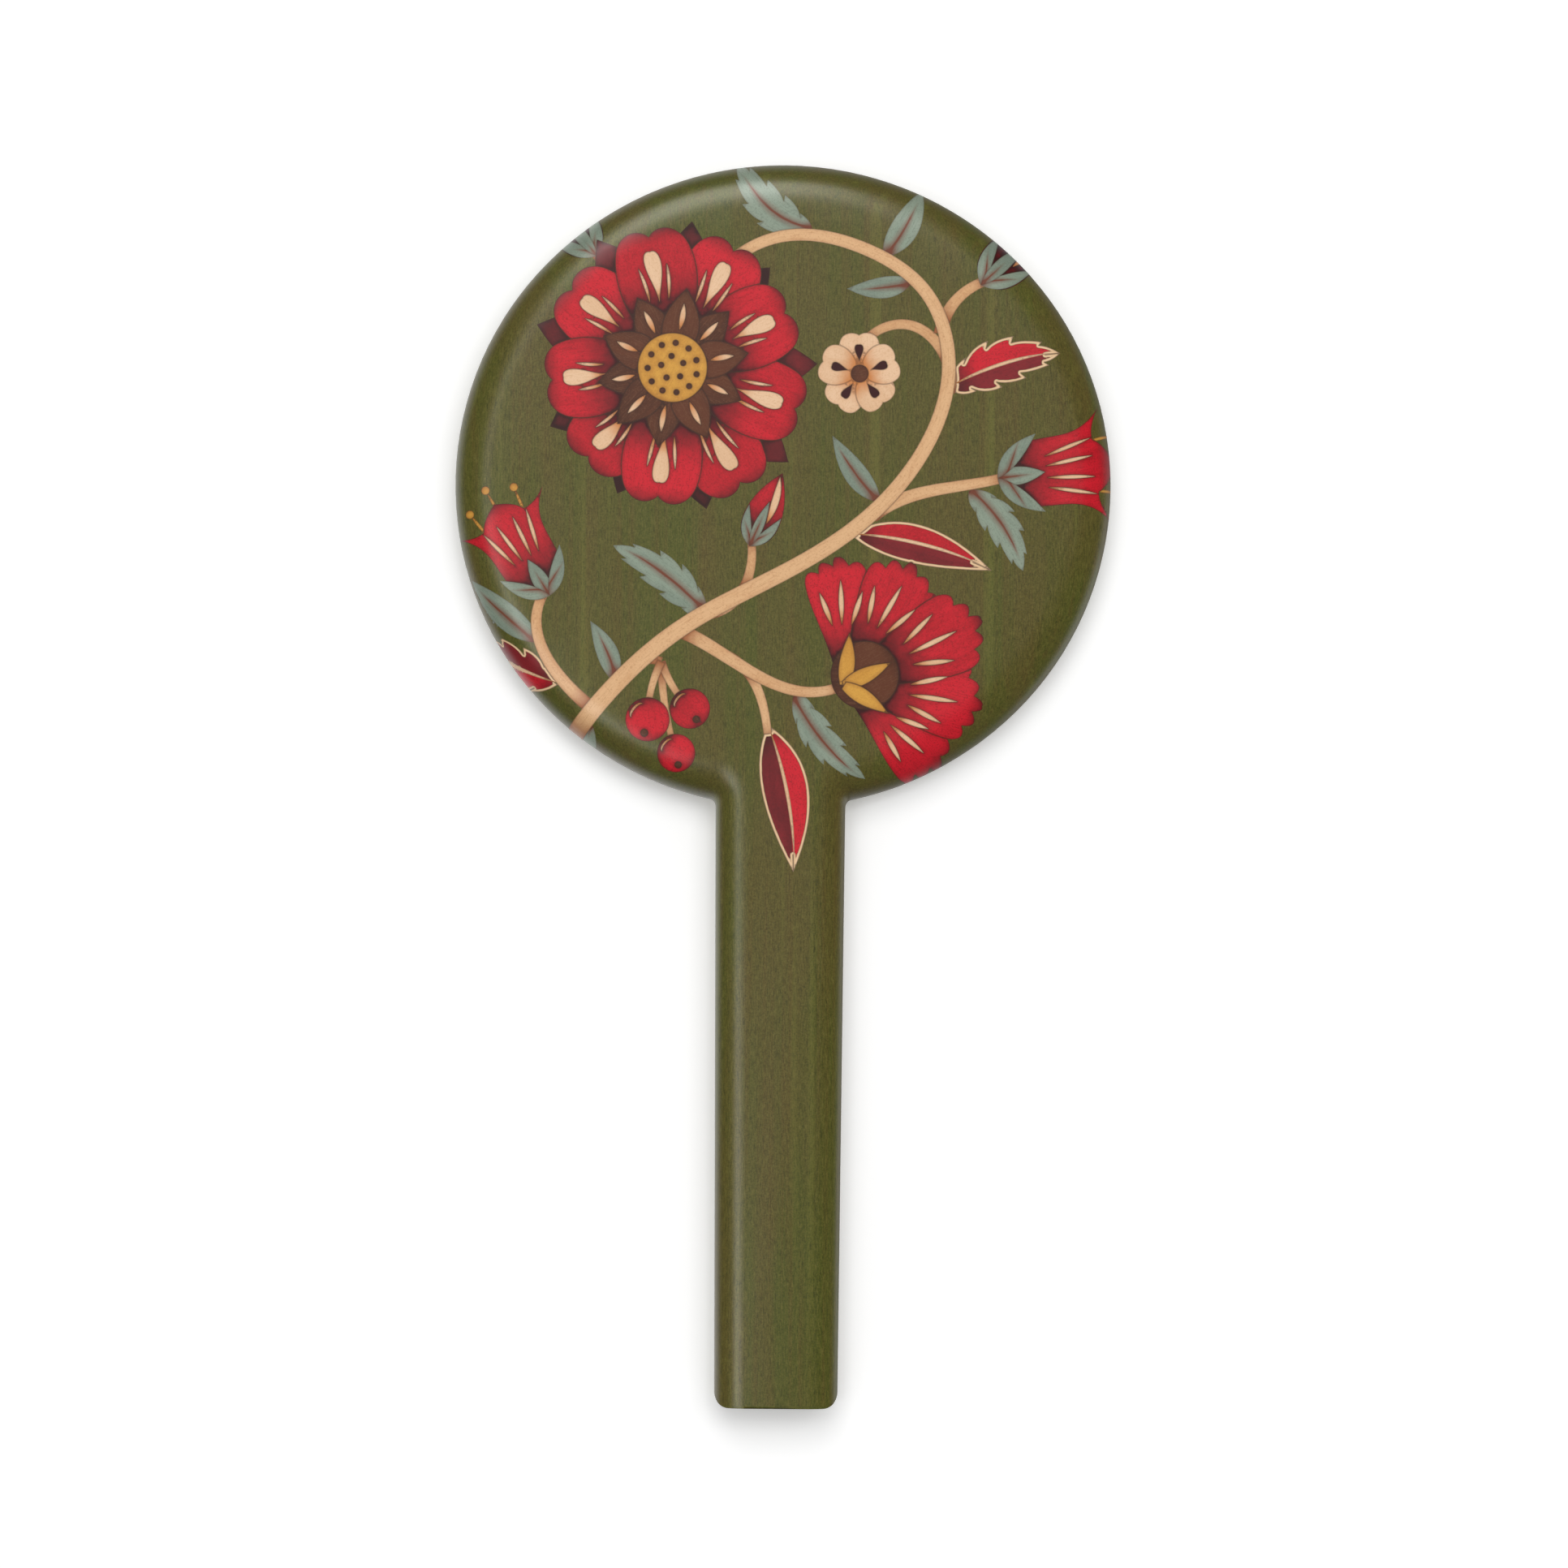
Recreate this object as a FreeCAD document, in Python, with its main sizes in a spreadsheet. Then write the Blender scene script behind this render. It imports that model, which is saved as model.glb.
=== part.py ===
import FreeCAD, Part
import Sketcher
import math
import os

# A wooden hand mirror: a flat, nearly round head with softly rounded edges on a straight
# handle, veneered all over, with a floral marquetry back and a mirror in its front.
# Everything is drawn lying on its front face, head centre at the origin, +Y towards
# the top of the head, +Z towards the marquetry back. The last section stands each
# piece up on the handle's end: +Z to the top of the head, -Y out of the back.

Vector = FreeCAD.Vector

# ---------------------------------------------------------------- driving dimensions

DIMENSIONS = [
    ("overall_length", 280, "top of the head to the end of the handle"),
    ("head_width", 148, "across the head, which is a little wider than it is tall"),
    ("head_height", 145, "up the head"),
    ("body_thickness", 16, "front face to back face"),
    ("head_round", 9.2, "radius of the head's back edge"),
    ("handle_round", 6.8, "radius of the handle's long back edges"),
    ("front_round", 2, "radius of the front edges, head and handle"),
    ("handle_width_end", 27.8, "handle width at its end"),
    ("handle_width_root", 29.6, "handle width where it is buried in the head"),
    ("handle_root", 40, "how far below the head centre the handle bar starts"),
    ("end_corner", 3.2, "radius of the two corners at the handle's end"),
    ("veneer", 0.6, "thickness of every veneer"),
    ("board_seam", 5, "height of the glue line between the two boards"),
    ("glass_diameter", 120, "mirror glass across"),
    ("glass_thickness", 3, "mirror glass"),
    ("glass_bevel_width", 9, "width of the bevel ground round the glass"),
    ("glass_bevel_depth", 1.2, "depth of that bevel at the glass edge"),
    ("glass_sink", 1, "how far the glass sits below the front face"),
    ("glass_gap", 0.3, "gap all round the glass in its opening"),
    ("silver_thickness", 0.15, "silver layer on the glass"),
    ("paint_thickness", 0.15, "protective paint behind the silver"),
    ("pad_diameter", 18, "adhesive pads behind the mirror"),
    ("pad_circle", 84, "circle that the pads are set on"),
    ("pad_count", 6, "adhesive pads"),
]

doc = FreeCAD.newDocument("hand_mirror")
sheet = doc.addObject("Spreadsheet::Sheet", "dims")
for row, (alias, size, meaning) in enumerate(DIMENSIONS, 1):
    sheet.set("A%d" % row, alias)
    sheet.set("B%d" % row, str(size))
    sheet.set("C%d" % row, meaning)
    sheet.setAlias("B%d" % row, alias)
doc.recompute()


def size_of(alias):
    return float(sheet.get(alias))


HANDLE_END = "(dims.overall_length - dims.head_height / 2)"
HEAD_SEAM = "(dims.body_thickness - dims.head_round)"
# how far the centres of the oval's arcs are set off, so that they meet on the diagonals
OVAL_SHIFT = "(dims.head_width - dims.head_height) / 2 / (2 - sqrt(2))"
SIDE_RADIUS = "dims.head_width / 2 - " + OVAL_SHIFT
TOP_RADIUS = "(dims.head_height / 2 + %s)" % OVAL_SHIFT
# where the handle's side leaves the head's outline, measured below the head centre
NECK = "(sqrt(%s ^ 2 - (dims.handle_width_root / 2) ^ 2) - %s)" % (TOP_RADIUS, OVAL_SHIFT)

# for picking edges: a height between the two faces, a length that only the handle's long
# edges reach, and the most that a level edge rises
MIDDLE = size_of("body_thickness") / 2
LONG = size_of("overall_length") / 3
LEVEL = 0.001

subparts = []


def bind(feature, **expressions):
    """Bind properties to the sheet; two underscores stand for a dot in the property path."""
    for path, expression in expressions.items():
        feature.setExpression(path.replace("__", "."), str(expression))
    return feature


def subpart(feature, label):
    feature.Label = label
    subparts.append(feature)
    return feature


def boolean(kind, name, base, tool):
    feature = doc.addObject("Part::" + kind, name)
    feature.Base = base
    feature.Tool = tool
    return feature


# ---------------------------------------------------------------- the two full forms
# The outer form is the finished surface; the inner form is what the veneer is laid on.


def edges_where(shape, test):
    return ["Edge%d" % k for k, edge in enumerate(shape.Edges, 1) if test(edge.BoundBox)]


def rounded(body, base, name, edges, radius):
    fillet = body.newObject("PartDesign::Fillet", name)
    fillet.Base = (base, edges)
    bind(fillet, Radius=radius)
    doc.recompute()
    return fillet


def oval_sketch(body, name, inset):
    """Four arcs that meet on the diagonals: tighter ones at the sides, flatter above and below."""
    shift = (size_of("head_width") - size_of("head_height")) / 2 / (2 - math.sqrt(2))
    side_radius, top_radius = size_of("head_width") / 2 - shift, size_of("head_height") / 2 + shift
    sketch = body.newObject("Sketcher::SketchObject", name)
    centres = [((shift, 0), side_radius), ((0, -shift), top_radius),
               ((-shift, 0), side_radius), ((0, shift), top_radius)]
    for k, ((x, y), radius) in enumerate(centres):
        ring = Part.Circle(Vector(x, y, 0), Vector(0, 0, 1), radius)
        sketch.addGeometry(Part.ArcOfCircle(ring, math.radians(90 * k - 45), math.radians(90 * k + 45)))
    for k in (0, 2):
        sketch.addConstraint(Sketcher.Constraint("PointOnObject", k, 3, -1))
    for k in range(4):
        sketch.addConstraint(Sketcher.Constraint("Tangent", k, 2, (k + 1) % 4, 1))
    sizes = [
        ("right", Sketcher.Constraint("DistanceX", -1, 1, 0, 3, shift), OVAL_SHIFT),
        ("left", Sketcher.Constraint("DistanceX", 2, 3, -1, 1, shift), OVAL_SHIFT),
        ("below", Sketcher.Constraint("DistanceY", 1, 3, -1, 1, shift), OVAL_SHIFT),
        ("above", Sketcher.Constraint("DistanceY", -1, 1, 3, 3, shift), OVAL_SHIFT),
        ("right_arc", Sketcher.Constraint("Radius", 0, side_radius), SIDE_RADIUS + " - " + inset),
        ("left_arc", Sketcher.Constraint("Radius", 2, side_radius), SIDE_RADIUS + " - " + inset),
    ]
    for label, constraint, expression in sizes:
        sketch.renameConstraint(sketch.addConstraint(constraint), label)
        sketch.setExpression("Constraints." + label, expression)
    bind(sketch, Placement__Base__z=inset)
    return sketch


def head_form(name, inset):
    body = doc.addObject("PartDesign::Body", name + "_head")
    outline = oval_sketch(body, name + "_oval", inset)
    plate = body.newObject("PartDesign::Pad", name + "_plate")
    plate.Profile = outline
    bind(plate, Length="dims.body_thickness - 2 * " + inset)
    doc.recompute()
    top = edges_where(plate.Shape, lambda box: box.ZLength < LEVEL and box.ZMin > MIDDLE)
    soft = rounded(body, plate, name + "_back_edge", top, "dims.head_round - " + inset)
    low = edges_where(soft.Shape, lambda box: box.ZLength < LEVEL and box.ZMin < size_of("veneer") + LEVEL)
    rounded(body, soft, name + "_front_edge", low, "dims.front_round - " + inset)
    return body


def handle_bar(body_name, inset, below, above):
    """A tapered bar from the handle's end up into the head, between two heights."""
    body = doc.addObject("PartDesign::Body", body_name)
    bar = doc.addObject("PartDesign::AdditiveWedge", body_name + "_bar")
    body.addObject(bar)
    bind(bar, Ymin="-%s + %s" % (HANDLE_END, inset), Ymax="-dims.handle_root")
    bind(bar, Xmin="-dims.handle_width_end / 2 + " + inset, Xmax="dims.handle_width_end / 2 - " + inset)
    bind(bar, Zmin=below, Zmax=above, Z2min=below, Z2max=above)
    # the wedge's second side is the one at Ymax
    bind(bar, X2min="-dims.handle_width_root / 2 + " + inset, X2max="dims.handle_width_root / 2 - " + inset)
    doc.recompute()
    return body, bar


def handle_form(name, inset):
    body, bar = handle_bar(name + "_handle", inset, inset, "dims.body_thickness - " + inset)
    long_top = edges_where(bar.Shape, lambda box: box.YLength > LONG and box.ZMin > MIDDLE)
    soft = rounded(body, bar, name + "_long_back", long_top, "dims.handle_round - " + inset)
    long_low = edges_where(soft.Shape, lambda box: box.YLength > LONG and box.ZMax < MIDDLE)
    rounded(body, soft, name + "_long_front", long_low, "dims.front_round - " + inset)
    outline, slab = handle_bar(name + "_outline", inset, "-dims.body_thickness", "2 * dims.body_thickness")
    corners = edges_where(slab.Shape, lambda box: box.ZLength > MIDDLE and box.YMax < -LONG)
    rounded(outline, slab, name + "_end_corners", corners, "dims.end_corner - " + inset)
    return boolean("Common", name + "_bar", body, outline)


def full_form(name, inset):
    head = head_form(name, inset)
    return boolean("Fuse", name + "_form", head, handle_form(name, inset))


outer_form = full_form("outer", "0 * dims.veneer")
inner_form = full_form("inner", "dims.veneer")
skin = boolean("Cut", "skin", outer_form, inner_form)
doc.recompute()

# ---------------------------------------------------------------- cutting zones


def slab_zone(name, low, high, from_y, to_y):
    """A wide box between two heights and two distances along the handle."""
    box = doc.addObject("Part::Box", name)
    bind(box, Length="2 * dims.head_width", Width="(%s) - (%s)" % (to_y, from_y),
         Height="(%s) - (%s)" % (high, low))
    bind(box, Placement__Base__x="-dims.head_width", Placement__Base__y=from_y,
         Placement__Base__z=low)
    return box


def half_zone(name, side):
    """The left or right half below the neck, where the head's edge meets the handle's."""
    box = doc.addObject("Part::Box", name)
    bind(box, Length="dims.head_width", Width="%s - %s" % (HANDLE_END, NECK),
         Height="3 * dims.body_thickness")
    bind(box, Placement__Base__x="0 mm" if side > 0 else "-dims.head_width",
         Placement__Base__y="-" + HANDLE_END, Placement__Base__z="-dims.body_thickness")
    return box


ABOVE_HEAD = "dims.head_height"
CAP_LINE = "-%s + dims.veneer" % HANDLE_END
BELOW = "-2 * dims.overall_length"

back_zone = slab_zone("back_zone", HEAD_SEAM, "2 * dims.body_thickness", CAP_LINE, ABOVE_HEAD)
edge_zone = slab_zone("edge_zone", "dims.front_round", HEAD_SEAM, CAP_LINE, ABOVE_HEAD)
front_zone = slab_zone("front_zone", "-dims.body_thickness", "dims.front_round", CAP_LINE, ABOVE_HEAD)
cap_zone = slab_zone("cap_zone", "-dims.body_thickness", "2 * dims.body_thickness", BELOW, CAP_LINE)
core_zone = slab_zone("core_zone", "dims.board_seam", "2 * dims.body_thickness", BELOW, ABOVE_HEAD)
frame_zone = slab_zone("frame_zone", "-dims.body_thickness", "dims.board_seam", BELOW, ABOVE_HEAD)
head_zone = slab_zone("head_zone", "-dims.body_thickness", "2 * dims.body_thickness",
                      "-" + NECK, ABOVE_HEAD)
opening = doc.addObject("Part::Cylinder", "mirror_opening")
bind(opening, Radius="dims.glass_diameter / 2 + dims.glass_gap", Height="3 * dims.body_thickness",
     Placement__Base__z="-dims.body_thickness")

# ---------------------------------------------------------------- boards and veneers

subpart(boolean("Common", "core", inner_form, core_zone), "core_board")
frame_blank = boolean("Common", "frame_blank", inner_form, frame_zone)
subpart(boolean("Cut", "frame", frame_blank, opening), "front_frame")

back_skin = boolean("Common", "back_skin", skin, back_zone)
edge_skin = boolean("Common", "edge_skin", skin, edge_zone)
front_skin = boolean("Common", "front_skin", skin, front_zone)
subpart(boolean("Cut", "front_sheet", front_skin, opening), "front_veneer")
subpart(boolean("Common", "head_band", edge_skin, head_zone), "head_edge_band")
subpart(boolean("Common", "left_band", edge_skin, half_zone("left_zone", -1)), "handle_edge_band_left")
subpart(boolean("Common", "right_band", edge_skin, half_zone("right_zone", 1)), "handle_edge_band_right")
subpart(boolean("Common", "end_cap", outer_form, cap_zone), "handle_end_cap")

# ---------------------------------------------------------------- the mirror


def disc_body(name, floor, thickness):
    """A round plate as wide as the glass."""
    body = doc.addObject("PartDesign::Body", name)
    disc = doc.addObject("PartDesign::AdditiveCylinder", name + "_disc")
    body.addObject(disc)
    bind(disc, Radius="dims.glass_diameter / 2", Height=thickness, Placement__Base__z=floor)
    doc.recompute()
    return body, disc


GLASS_BACK = "dims.glass_sink + dims.glass_thickness"
PAD_FLOOR = GLASS_BACK + " + dims.silver_thickness + dims.paint_thickness"

glass, glass_disc = disc_body("glass", "dims.glass_sink", "dims.glass_thickness")
bevel = glass.newObject("PartDesign::Chamfer", "glass_bevel")
face_edge = edges_where(glass_disc.Shape, lambda box: box.ZMax < size_of("glass_sink") + LEVEL)
bevel.Base = (glass_disc, face_edge)
bevel.ChamferType = "Two distances"
bind(bevel, Size="dims.glass_bevel_depth", Size2="dims.glass_bevel_width")
subpart(glass, "mirror_glass")
silver, _ = disc_body("silver", GLASS_BACK, "dims.silver_thickness")
subpart(silver, "mirror_silvering")
paint, _ = disc_body("paint", GLASS_BACK + " + dims.silver_thickness", "dims.paint_thickness")
subpart(paint, "mirror_backing_paint")

pads = []
for k in range(int(size_of("pad_count"))):
    pad = doc.addObject("Part::Cylinder", "pad_%d" % (k + 1))
    turn = "%d * 360 deg / dims.pad_count" % k
    bind(pad, Radius="dims.pad_diameter / 2", Height="dims.board_seam - (%s)" % PAD_FLOOR)
    bind(pad, Placement__Base__x="dims.pad_circle / 2 * cos(%s)" % turn,
         Placement__Base__y="dims.pad_circle / 2 * sin(%s)" % turn, Placement__Base__z=PAD_FLOOR)
    pads.append(pad)
pad_set = doc.addObject("Part::Compound", "pads")
pad_set.Links = pads
subpart(pad_set, "mirror_tape_pads")
doc.recompute()

# ---------------------------------------------------------------- marquetry: drawing kit
# A motif is drawn once, along 0..1 from foot to tip and across -0.5..0.5, as runs of
# poles: two poles are a straight edge, three or more a Bezier curve. A Place sets it
# on the head at its real size, bowed to one side where the plant bends.


class Place:
    def __init__(self, foot, tip, width, bow=0):
        self.foot = Vector(foot[0], foot[1], 0)
        self.along = Vector(tip[0], tip[1], 0) - self.foot
        self.across = Vector(-self.along.y, self.along.x, 0).normalize()
        self.width = width
        self.bow = bow

    def at(self, u, v):
        sideways = self.width * v + self.bow * 4 * u * (1 - u)
        return self.foot + self.along * u + self.across * sideways

    def spot(self, u, v=0):
        point = self.at(u, v)
        return (point.x, point.y)


def from_polar(centre, radius, degrees):
    angle = math.radians(degrees)
    return (centre[0] + radius * math.cos(angle), centre[1] + radius * math.sin(angle))


def edge_through(points):
    if len(points) == 2:
        return Part.LineSegment(points[0], points[1]).toShape()
    curve = Part.BezierCurve()
    curve.setPoles(points)
    return curve.toShape()


def cutting(place, runs):
    """The flat face inside a closed outline."""
    return Part.Face(Part.Wire([edge_through([place.at(u, v) for u, v in run]) for run in runs]))


def closed(side):
    """A symmetric outline from one side's runs, which go from the foot to the tip."""
    other = [[(u, -v) for u, v in reversed(run)] for run in reversed(side)]
    foot, tip = side[0][0], side[-1][-1]
    blunt_tip = [[tip, (tip[0], -tip[1])]] if tip[1] else []
    blunt_foot = [[(foot[0], -foot[1]), foot]] if foot[1] else []
    return side + blunt_tip + other + blunt_foot


def stem_cutting(points, start_width, end_width):
    """A stem that tapers along a smooth line through the points."""
    spine = Part.BSplineCurve()
    spine.interpolate([Vector(x, y, 0) for x, y in points])
    stations = 6 * len(points)
    left, right = [], []
    for k in range(stations + 1):
        share = k / stations
        value = spine.FirstParameter + (spine.LastParameter - spine.FirstParameter) * share
        middle, tangent = spine.value(value), spine.tangent(value)[0]
        half = (start_width + (end_width - start_width) * share) / 2
        normal = Vector(-tangent.y, tangent.x, 0) * half
        left.append(middle + normal)
        right.append(middle - normal)
    edges = []
    for line in (left, list(reversed(right))):
        curve = Part.BSplineCurve()
        curve.interpolate(line)
        edges.append(curve.toShape())
    edges.append(Part.LineSegment(left[-1], right[-1]).toShape())
    edges.append(Part.LineSegment(right[0], left[0]).toShape())
    return Part.Face(Part.Wire(Part.__sortEdges__(edges)))


def toothed(teeth, fullness=0.8):
    """One side of a leaf whose teeth swell out, end in a point and step back in."""
    def reach(u):
        return 0.5 * math.sin(math.pi * u ** 0.85) ** fullness

    start = (0, 0.04)
    side = []
    for k in range(teeth):
        point_u = (k + 1) / (teeth + 0.55)
        point = (point_u, reach(point_u - 0.04))
        swell = ((start[0] + point_u) / 2 - 0.03, max(start[1], reach(point_u - 0.08)) + 0.03)
        notch = (point_u - 0.035, 0.72 * point[1])
        side.append([start, swell, point])
        side.append([point, notch])
        start = notch
    side.append([start, ((start[0] + 1) / 2, start[1] * 0.9), (1, 0)])
    return side


def sway(k, size):
    """A small uneven change, so that no two petals are twins."""
    return size * math.sin(5.1 * k + 0.8)


SLIM_PETAL = closed([[(0, 0.22), (0.34, 0.62), (0.66, 0.40), (1, 0)]])
HEART_PETAL = closed([[(0, 0.08), (0.16, 0.40), (0.52, 0.60), (0.82, 0.48)],
                      [(0.82, 0.48), (1.02, 0.40), (1.04, 0.12), (0.94, 0)]])
FRILLED_PETAL = closed([[(0, 0.07), (0.35, 0.24), (0.60, 0.50), (0.84, 0.50)],
                        [(0.84, 0.50), (0.97, 0.46), (0.92, 0.30)],
                        [(0.92, 0.30), (1.06, 0.27), (0.98, 0.10)],
                        [(0.98, 0.10), (1.07, 0.06), (1.05, 0)]])
BELL = closed([[(0, 0.14), (0.02, 0.36), (0.24, 0.36), (0.52, 0.37)],
               [(0.52, 0.37), (0.72, 0.38), (0.84, 0.44), (0.98, 0.62)],
               [(0.98, 0.62), (0.86, 0.42), (0.88, 0.28)],
               [(0.88, 0.28), (1.00, 0.22), (1.08, 0)]])
DROP = closed([[(0, 0), (0.40, 0.14), (0.62, 0.66), (1.08, 0.56), (1, 0)]])
VEIN = closed([[(0, 0), (0.30, 0.5), (0.70, 0.5), (1, 0)]])
LEAF = closed([[(0, 0), (0.25, 0.62), (0.60, 0.56), (1, 0)]])
BUD = closed([[(0, 0.20), (0.10, 0.62), (0.56, 0.64), (1, 0)]])
CRESCENT = [[(0, 0.5), (0.9, 0.55), (0.9, -0.55), (0, -0.5)],
            [(0, -0.5), (0.5, -0.40), (0.5, 0.40), (0, 0.5)]]

# cuttings in order: each one is cut round those listed before it, as the pieces of a
# marquetry picture fit each other edge to edge
picture = []


def lay(label, face):
    picture.append((label, face))


def lay_disc(label, centre, radius):
    ring = Part.Circle(Vector(centre[0], centre[1], 0), Vector(0, 0, 1), radius)
    lay(label, Part.Face(Part.Wire(ring.toShape())))


def ring_of(label, centre, count, inner, outer, width, turn, runs, uneven=0.0):
    """Petals round a centre: every second one in front, then those that peek out between."""
    for k in list(range(0, count, 2)) + list(range(1, count, 2)):
        heading = turn + 360 * k / count + sway(k, 6 * uneven)
        reach = outer * (1 + sway(k + 3, 0.10 * uneven))
        place = Place(from_polar(centre, inner, heading), from_polar(centre, reach, heading),
                      width, sway(k, uneven))
        lay(label, cutting(place, runs))


# ---------------------------------------------------------------- marquetry: the flowers


def great_bloom(centre):
    """An open rose seen from above: ochre heart, dark points, notched red petals in two rows."""
    for radius, count in ((5.6, 11), (2.6, 5)):
        for k in range(count):
            lay_disc("bloom_seeds", from_polar(centre, radius, 360 * k / count + 9 * radius), 0.62)
    lay_disc("bloom_centre", centre, 7.8)
    ring_of("bloom_inner_veins", centre, 10, 8.6, 14.2, 1.7, 10, VEIN, 0.3)
    ring_of("bloom_inner_petals", centre, 10, 4, 17.5, 9.6, 10, SLIM_PETAL, 0.3)
    ring_of("bloom_drops", centre, 9, 15, 25.5, 4.2, 24, DROP, 0.4)
    for side in (-1, 1):
        ring_of("bloom_veins", centre, 9, 15.5, 22.5, 1.0, 24 + 8 * side, VEIN, 0.4)
    ring_of("bloom_front_petals", centre, 9, 5, 30, 17.5, 24, HEART_PETAL, 0.5)
    ring_of("bloom_back_petals", centre, 9, 10, 32, 16, 44, SLIM_PETAL, 0.5)


def fan_flower(foot, heading, reach):
    """A flower seen from the side: frilled petals fan out of a dark cup with ochre sepals."""
    for k, spread in enumerate((-58, 0, 58)):
        tip = from_polar(foot, 0.36 * reach, heading + spread)
        lay("fan_sepals", cutting(Place(foot, tip, 4.2, sway(k, 0.3)), SLIM_PETAL))
    lay_disc("fan_cup", from_polar(foot, 0.16 * reach, heading), 0.235 * reach)
    spreads = (0, -34, 34, -66, 66)
    lengths = [reach * (1 - 0.0024 * abs(spread)) for spread in spreads]
    for spread, length in zip(spreads, lengths):
        for side in (-1, 0, 1):
            start = from_polar(foot, 0.50 * length, heading + spread + 9 * side)
            end = from_polar(foot, (0.86 - 0.08 * abs(side)) * length, heading + spread + 13 * side)
            lay("fan_veins", cutting(Place(start, end, 1.5), VEIN))
    for spread, length in zip(spreads, lengths):
        place = Place(foot, from_polar(foot, length, heading + spread), 0.56 * reach, -0.03 * spread)
        lay("fan_petals", cutting(place, FRILLED_PETAL))


def bell_flower(foot, heading, reach):
    """A hanging bell: blue sepals, a flared red cup with pale streaks, ochre stamens below."""
    bell = Place(foot, from_polar(foot, 0.86 * reach, heading), 0.78 * reach)
    for side in (-1, 1):
        sepal = Place(bell.spot(-0.08), bell.spot(0.34, 0.42 * side), 0.15 * reach, 0.04 * side * reach)
        lay("bell_sepals", cutting(sepal, LEAF))
    lay("bell_sepals", cutting(Place(bell.spot(-0.10), bell.spot(0.38), 0.17 * reach), LEAF))
    for v in (-0.24, -0.09, 0.09, 0.24):
        streak = Place(bell.spot(0.40, 0.7 * v), bell.spot(0.86, 1.25 * v), 1.15)
        lay("bell_streaks", cutting(streak, VEIN))
    lay("bell_cups", cutting(bell, BELL))
    for v in (-0.26, 0, 0.26):
        tip = bell.spot(1.26 - 0.5 * abs(v), 1.2 * v)
        lay_disc("bell_stamens", tip, 1.0)
        lay("bell_stamens", cutting(Place(bell.spot(0.8, v), tip, 1.1), VEIN))


def rose_bud(foot, heading, reach):
    """A closed bud with one pale petal edge, held by three blue sepals."""
    bud = Place(foot, from_polar(foot, reach, heading), 0.50 * reach)
    for v in (0, -0.46, 0.46):
        tip = bud.spot(0.58 - 0.3 * abs(v), v)
        lay("bud_sepals", cutting(Place(bud.spot(-0.06), tip, 0.15 * reach, 0.14 * v * reach), LEAF))
    fold = Place(bud.spot(0.30, -0.16), bud.spot(0.94, 0.02), 0.13 * reach, -0.05 * reach)
    lay("bud_folds", cutting(fold, VEIN))
    lay("bud_petals", cutting(bud, BUD))


def small_blossom(centre, reach):
    """Five pale petals, each with a red drop, round a dark eye."""
    lay_disc("small_blossom_eye", centre, 0.22 * reach)
    ring_of("small_blossom_drops", centre, 5, 0.30 * reach, 0.72 * reach, 0.24 * reach, 20, DROP)
    ring_of("small_blossom_petals", centre, 5, 0.06 * reach, reach, 0.98 * reach, 20, HEART_PETAL, 0.2)


def berries(stalk, spots, radius):
    """Round berries on thin stalks from one point, each with a pale glint and a dark eye."""
    for k, spot in enumerate(spots):
        size = radius * (1 + sway(k, 0.08))
        glint = from_polar(spot, 0.62 * size, 140)
        lay("berry_glints", cutting(Place(glint, from_polar(glint, 0.34 * size, 140), 0.8 * size), CRESCENT))
        away = math.degrees(math.atan2(spot[1] - stalk[1], spot[0] - stalk[0]))
        lay_disc("berry_eyes", from_polar(spot, 0.62 * size, away), 0.17 * size)
        lay_disc("berries", spot, size)
    for spot in spots:
        bend = ((stalk[0] + spot[0]) / 2 - 0.8, (stalk[1] + spot[1]) / 2)
        lay("inlay_branches", stem_cutting([stalk, bend, spot], 1.9, 1.3))


def split_leaf(foot, tip, width, bow, teeth=0):
    """A leaf in two tones, light and dark red, either side of a pale rib."""
    place = Place(foot, tip, width, bow)
    side = toothed(teeth) if teeth else LEAF[:1]
    middle = [(1, 0), (0.7, 0), (0.3, 0), (0, 0)]
    if side[0][0] != (0, 0):
        middle.append(side[0][0])
    lay("leaf_ribs", cutting(Place(foot, place.spot(0.93), 1.1, bow), VEIN))
    lay("leaf_light_halves", cutting(place, side + [middle]))
    lay("leaf_dark_halves", cutting(place, closed(side)))


# ---------------------------------------------------------------- marquetry: the spray
# Places are in millimetres from the centre of the head. One vine climbs from the lower
# left rim, arches over the right side and ends behind the great bloom.

GREAT_BLOOM = (-25, 26)
SMALL_BLOSSOM = (17, 25)
FAN_FOOT = (14, -45)
RIGHT_BELL = (50, 2)
LEFT_BELL = (-53, -24)
TOP_BUD = (-43, 52)
RIGHT_BUD = (45, 46)
MIDDLE_BUD = (-7, -13)
BERRY_STALK = (-27, -40)

great_bloom(GREAT_BLOOM)
fan_flower(FAN_FOOT, 26.2, 32.6)
bell_flower(RIGHT_BELL, 8, 27)
bell_flower(LEFT_BELL, 122, 24)
rose_bud(TOP_BUD, 128, 22)
rose_bud(RIGHT_BUD, 44, 23)
rose_bud(MIDDLE_BUD, 66, 17)
small_blossom(SMALL_BLOSSOM, 9)
berries(BERRY_STALK, [(-30, -53), (-20.5, -50.5), (-23.5, -60.5)], 4.7)

VINE = [(-50, -62), (-38, -46), (-22, -32), (-2, -21), (17, -9), (31, 7), (37, 26), (32, 43), (18, 53),
        (2, 56), (-12, 50)]
lay("inlay_vine", stem_cutting(VINE, 4.2, 2.6))

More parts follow.
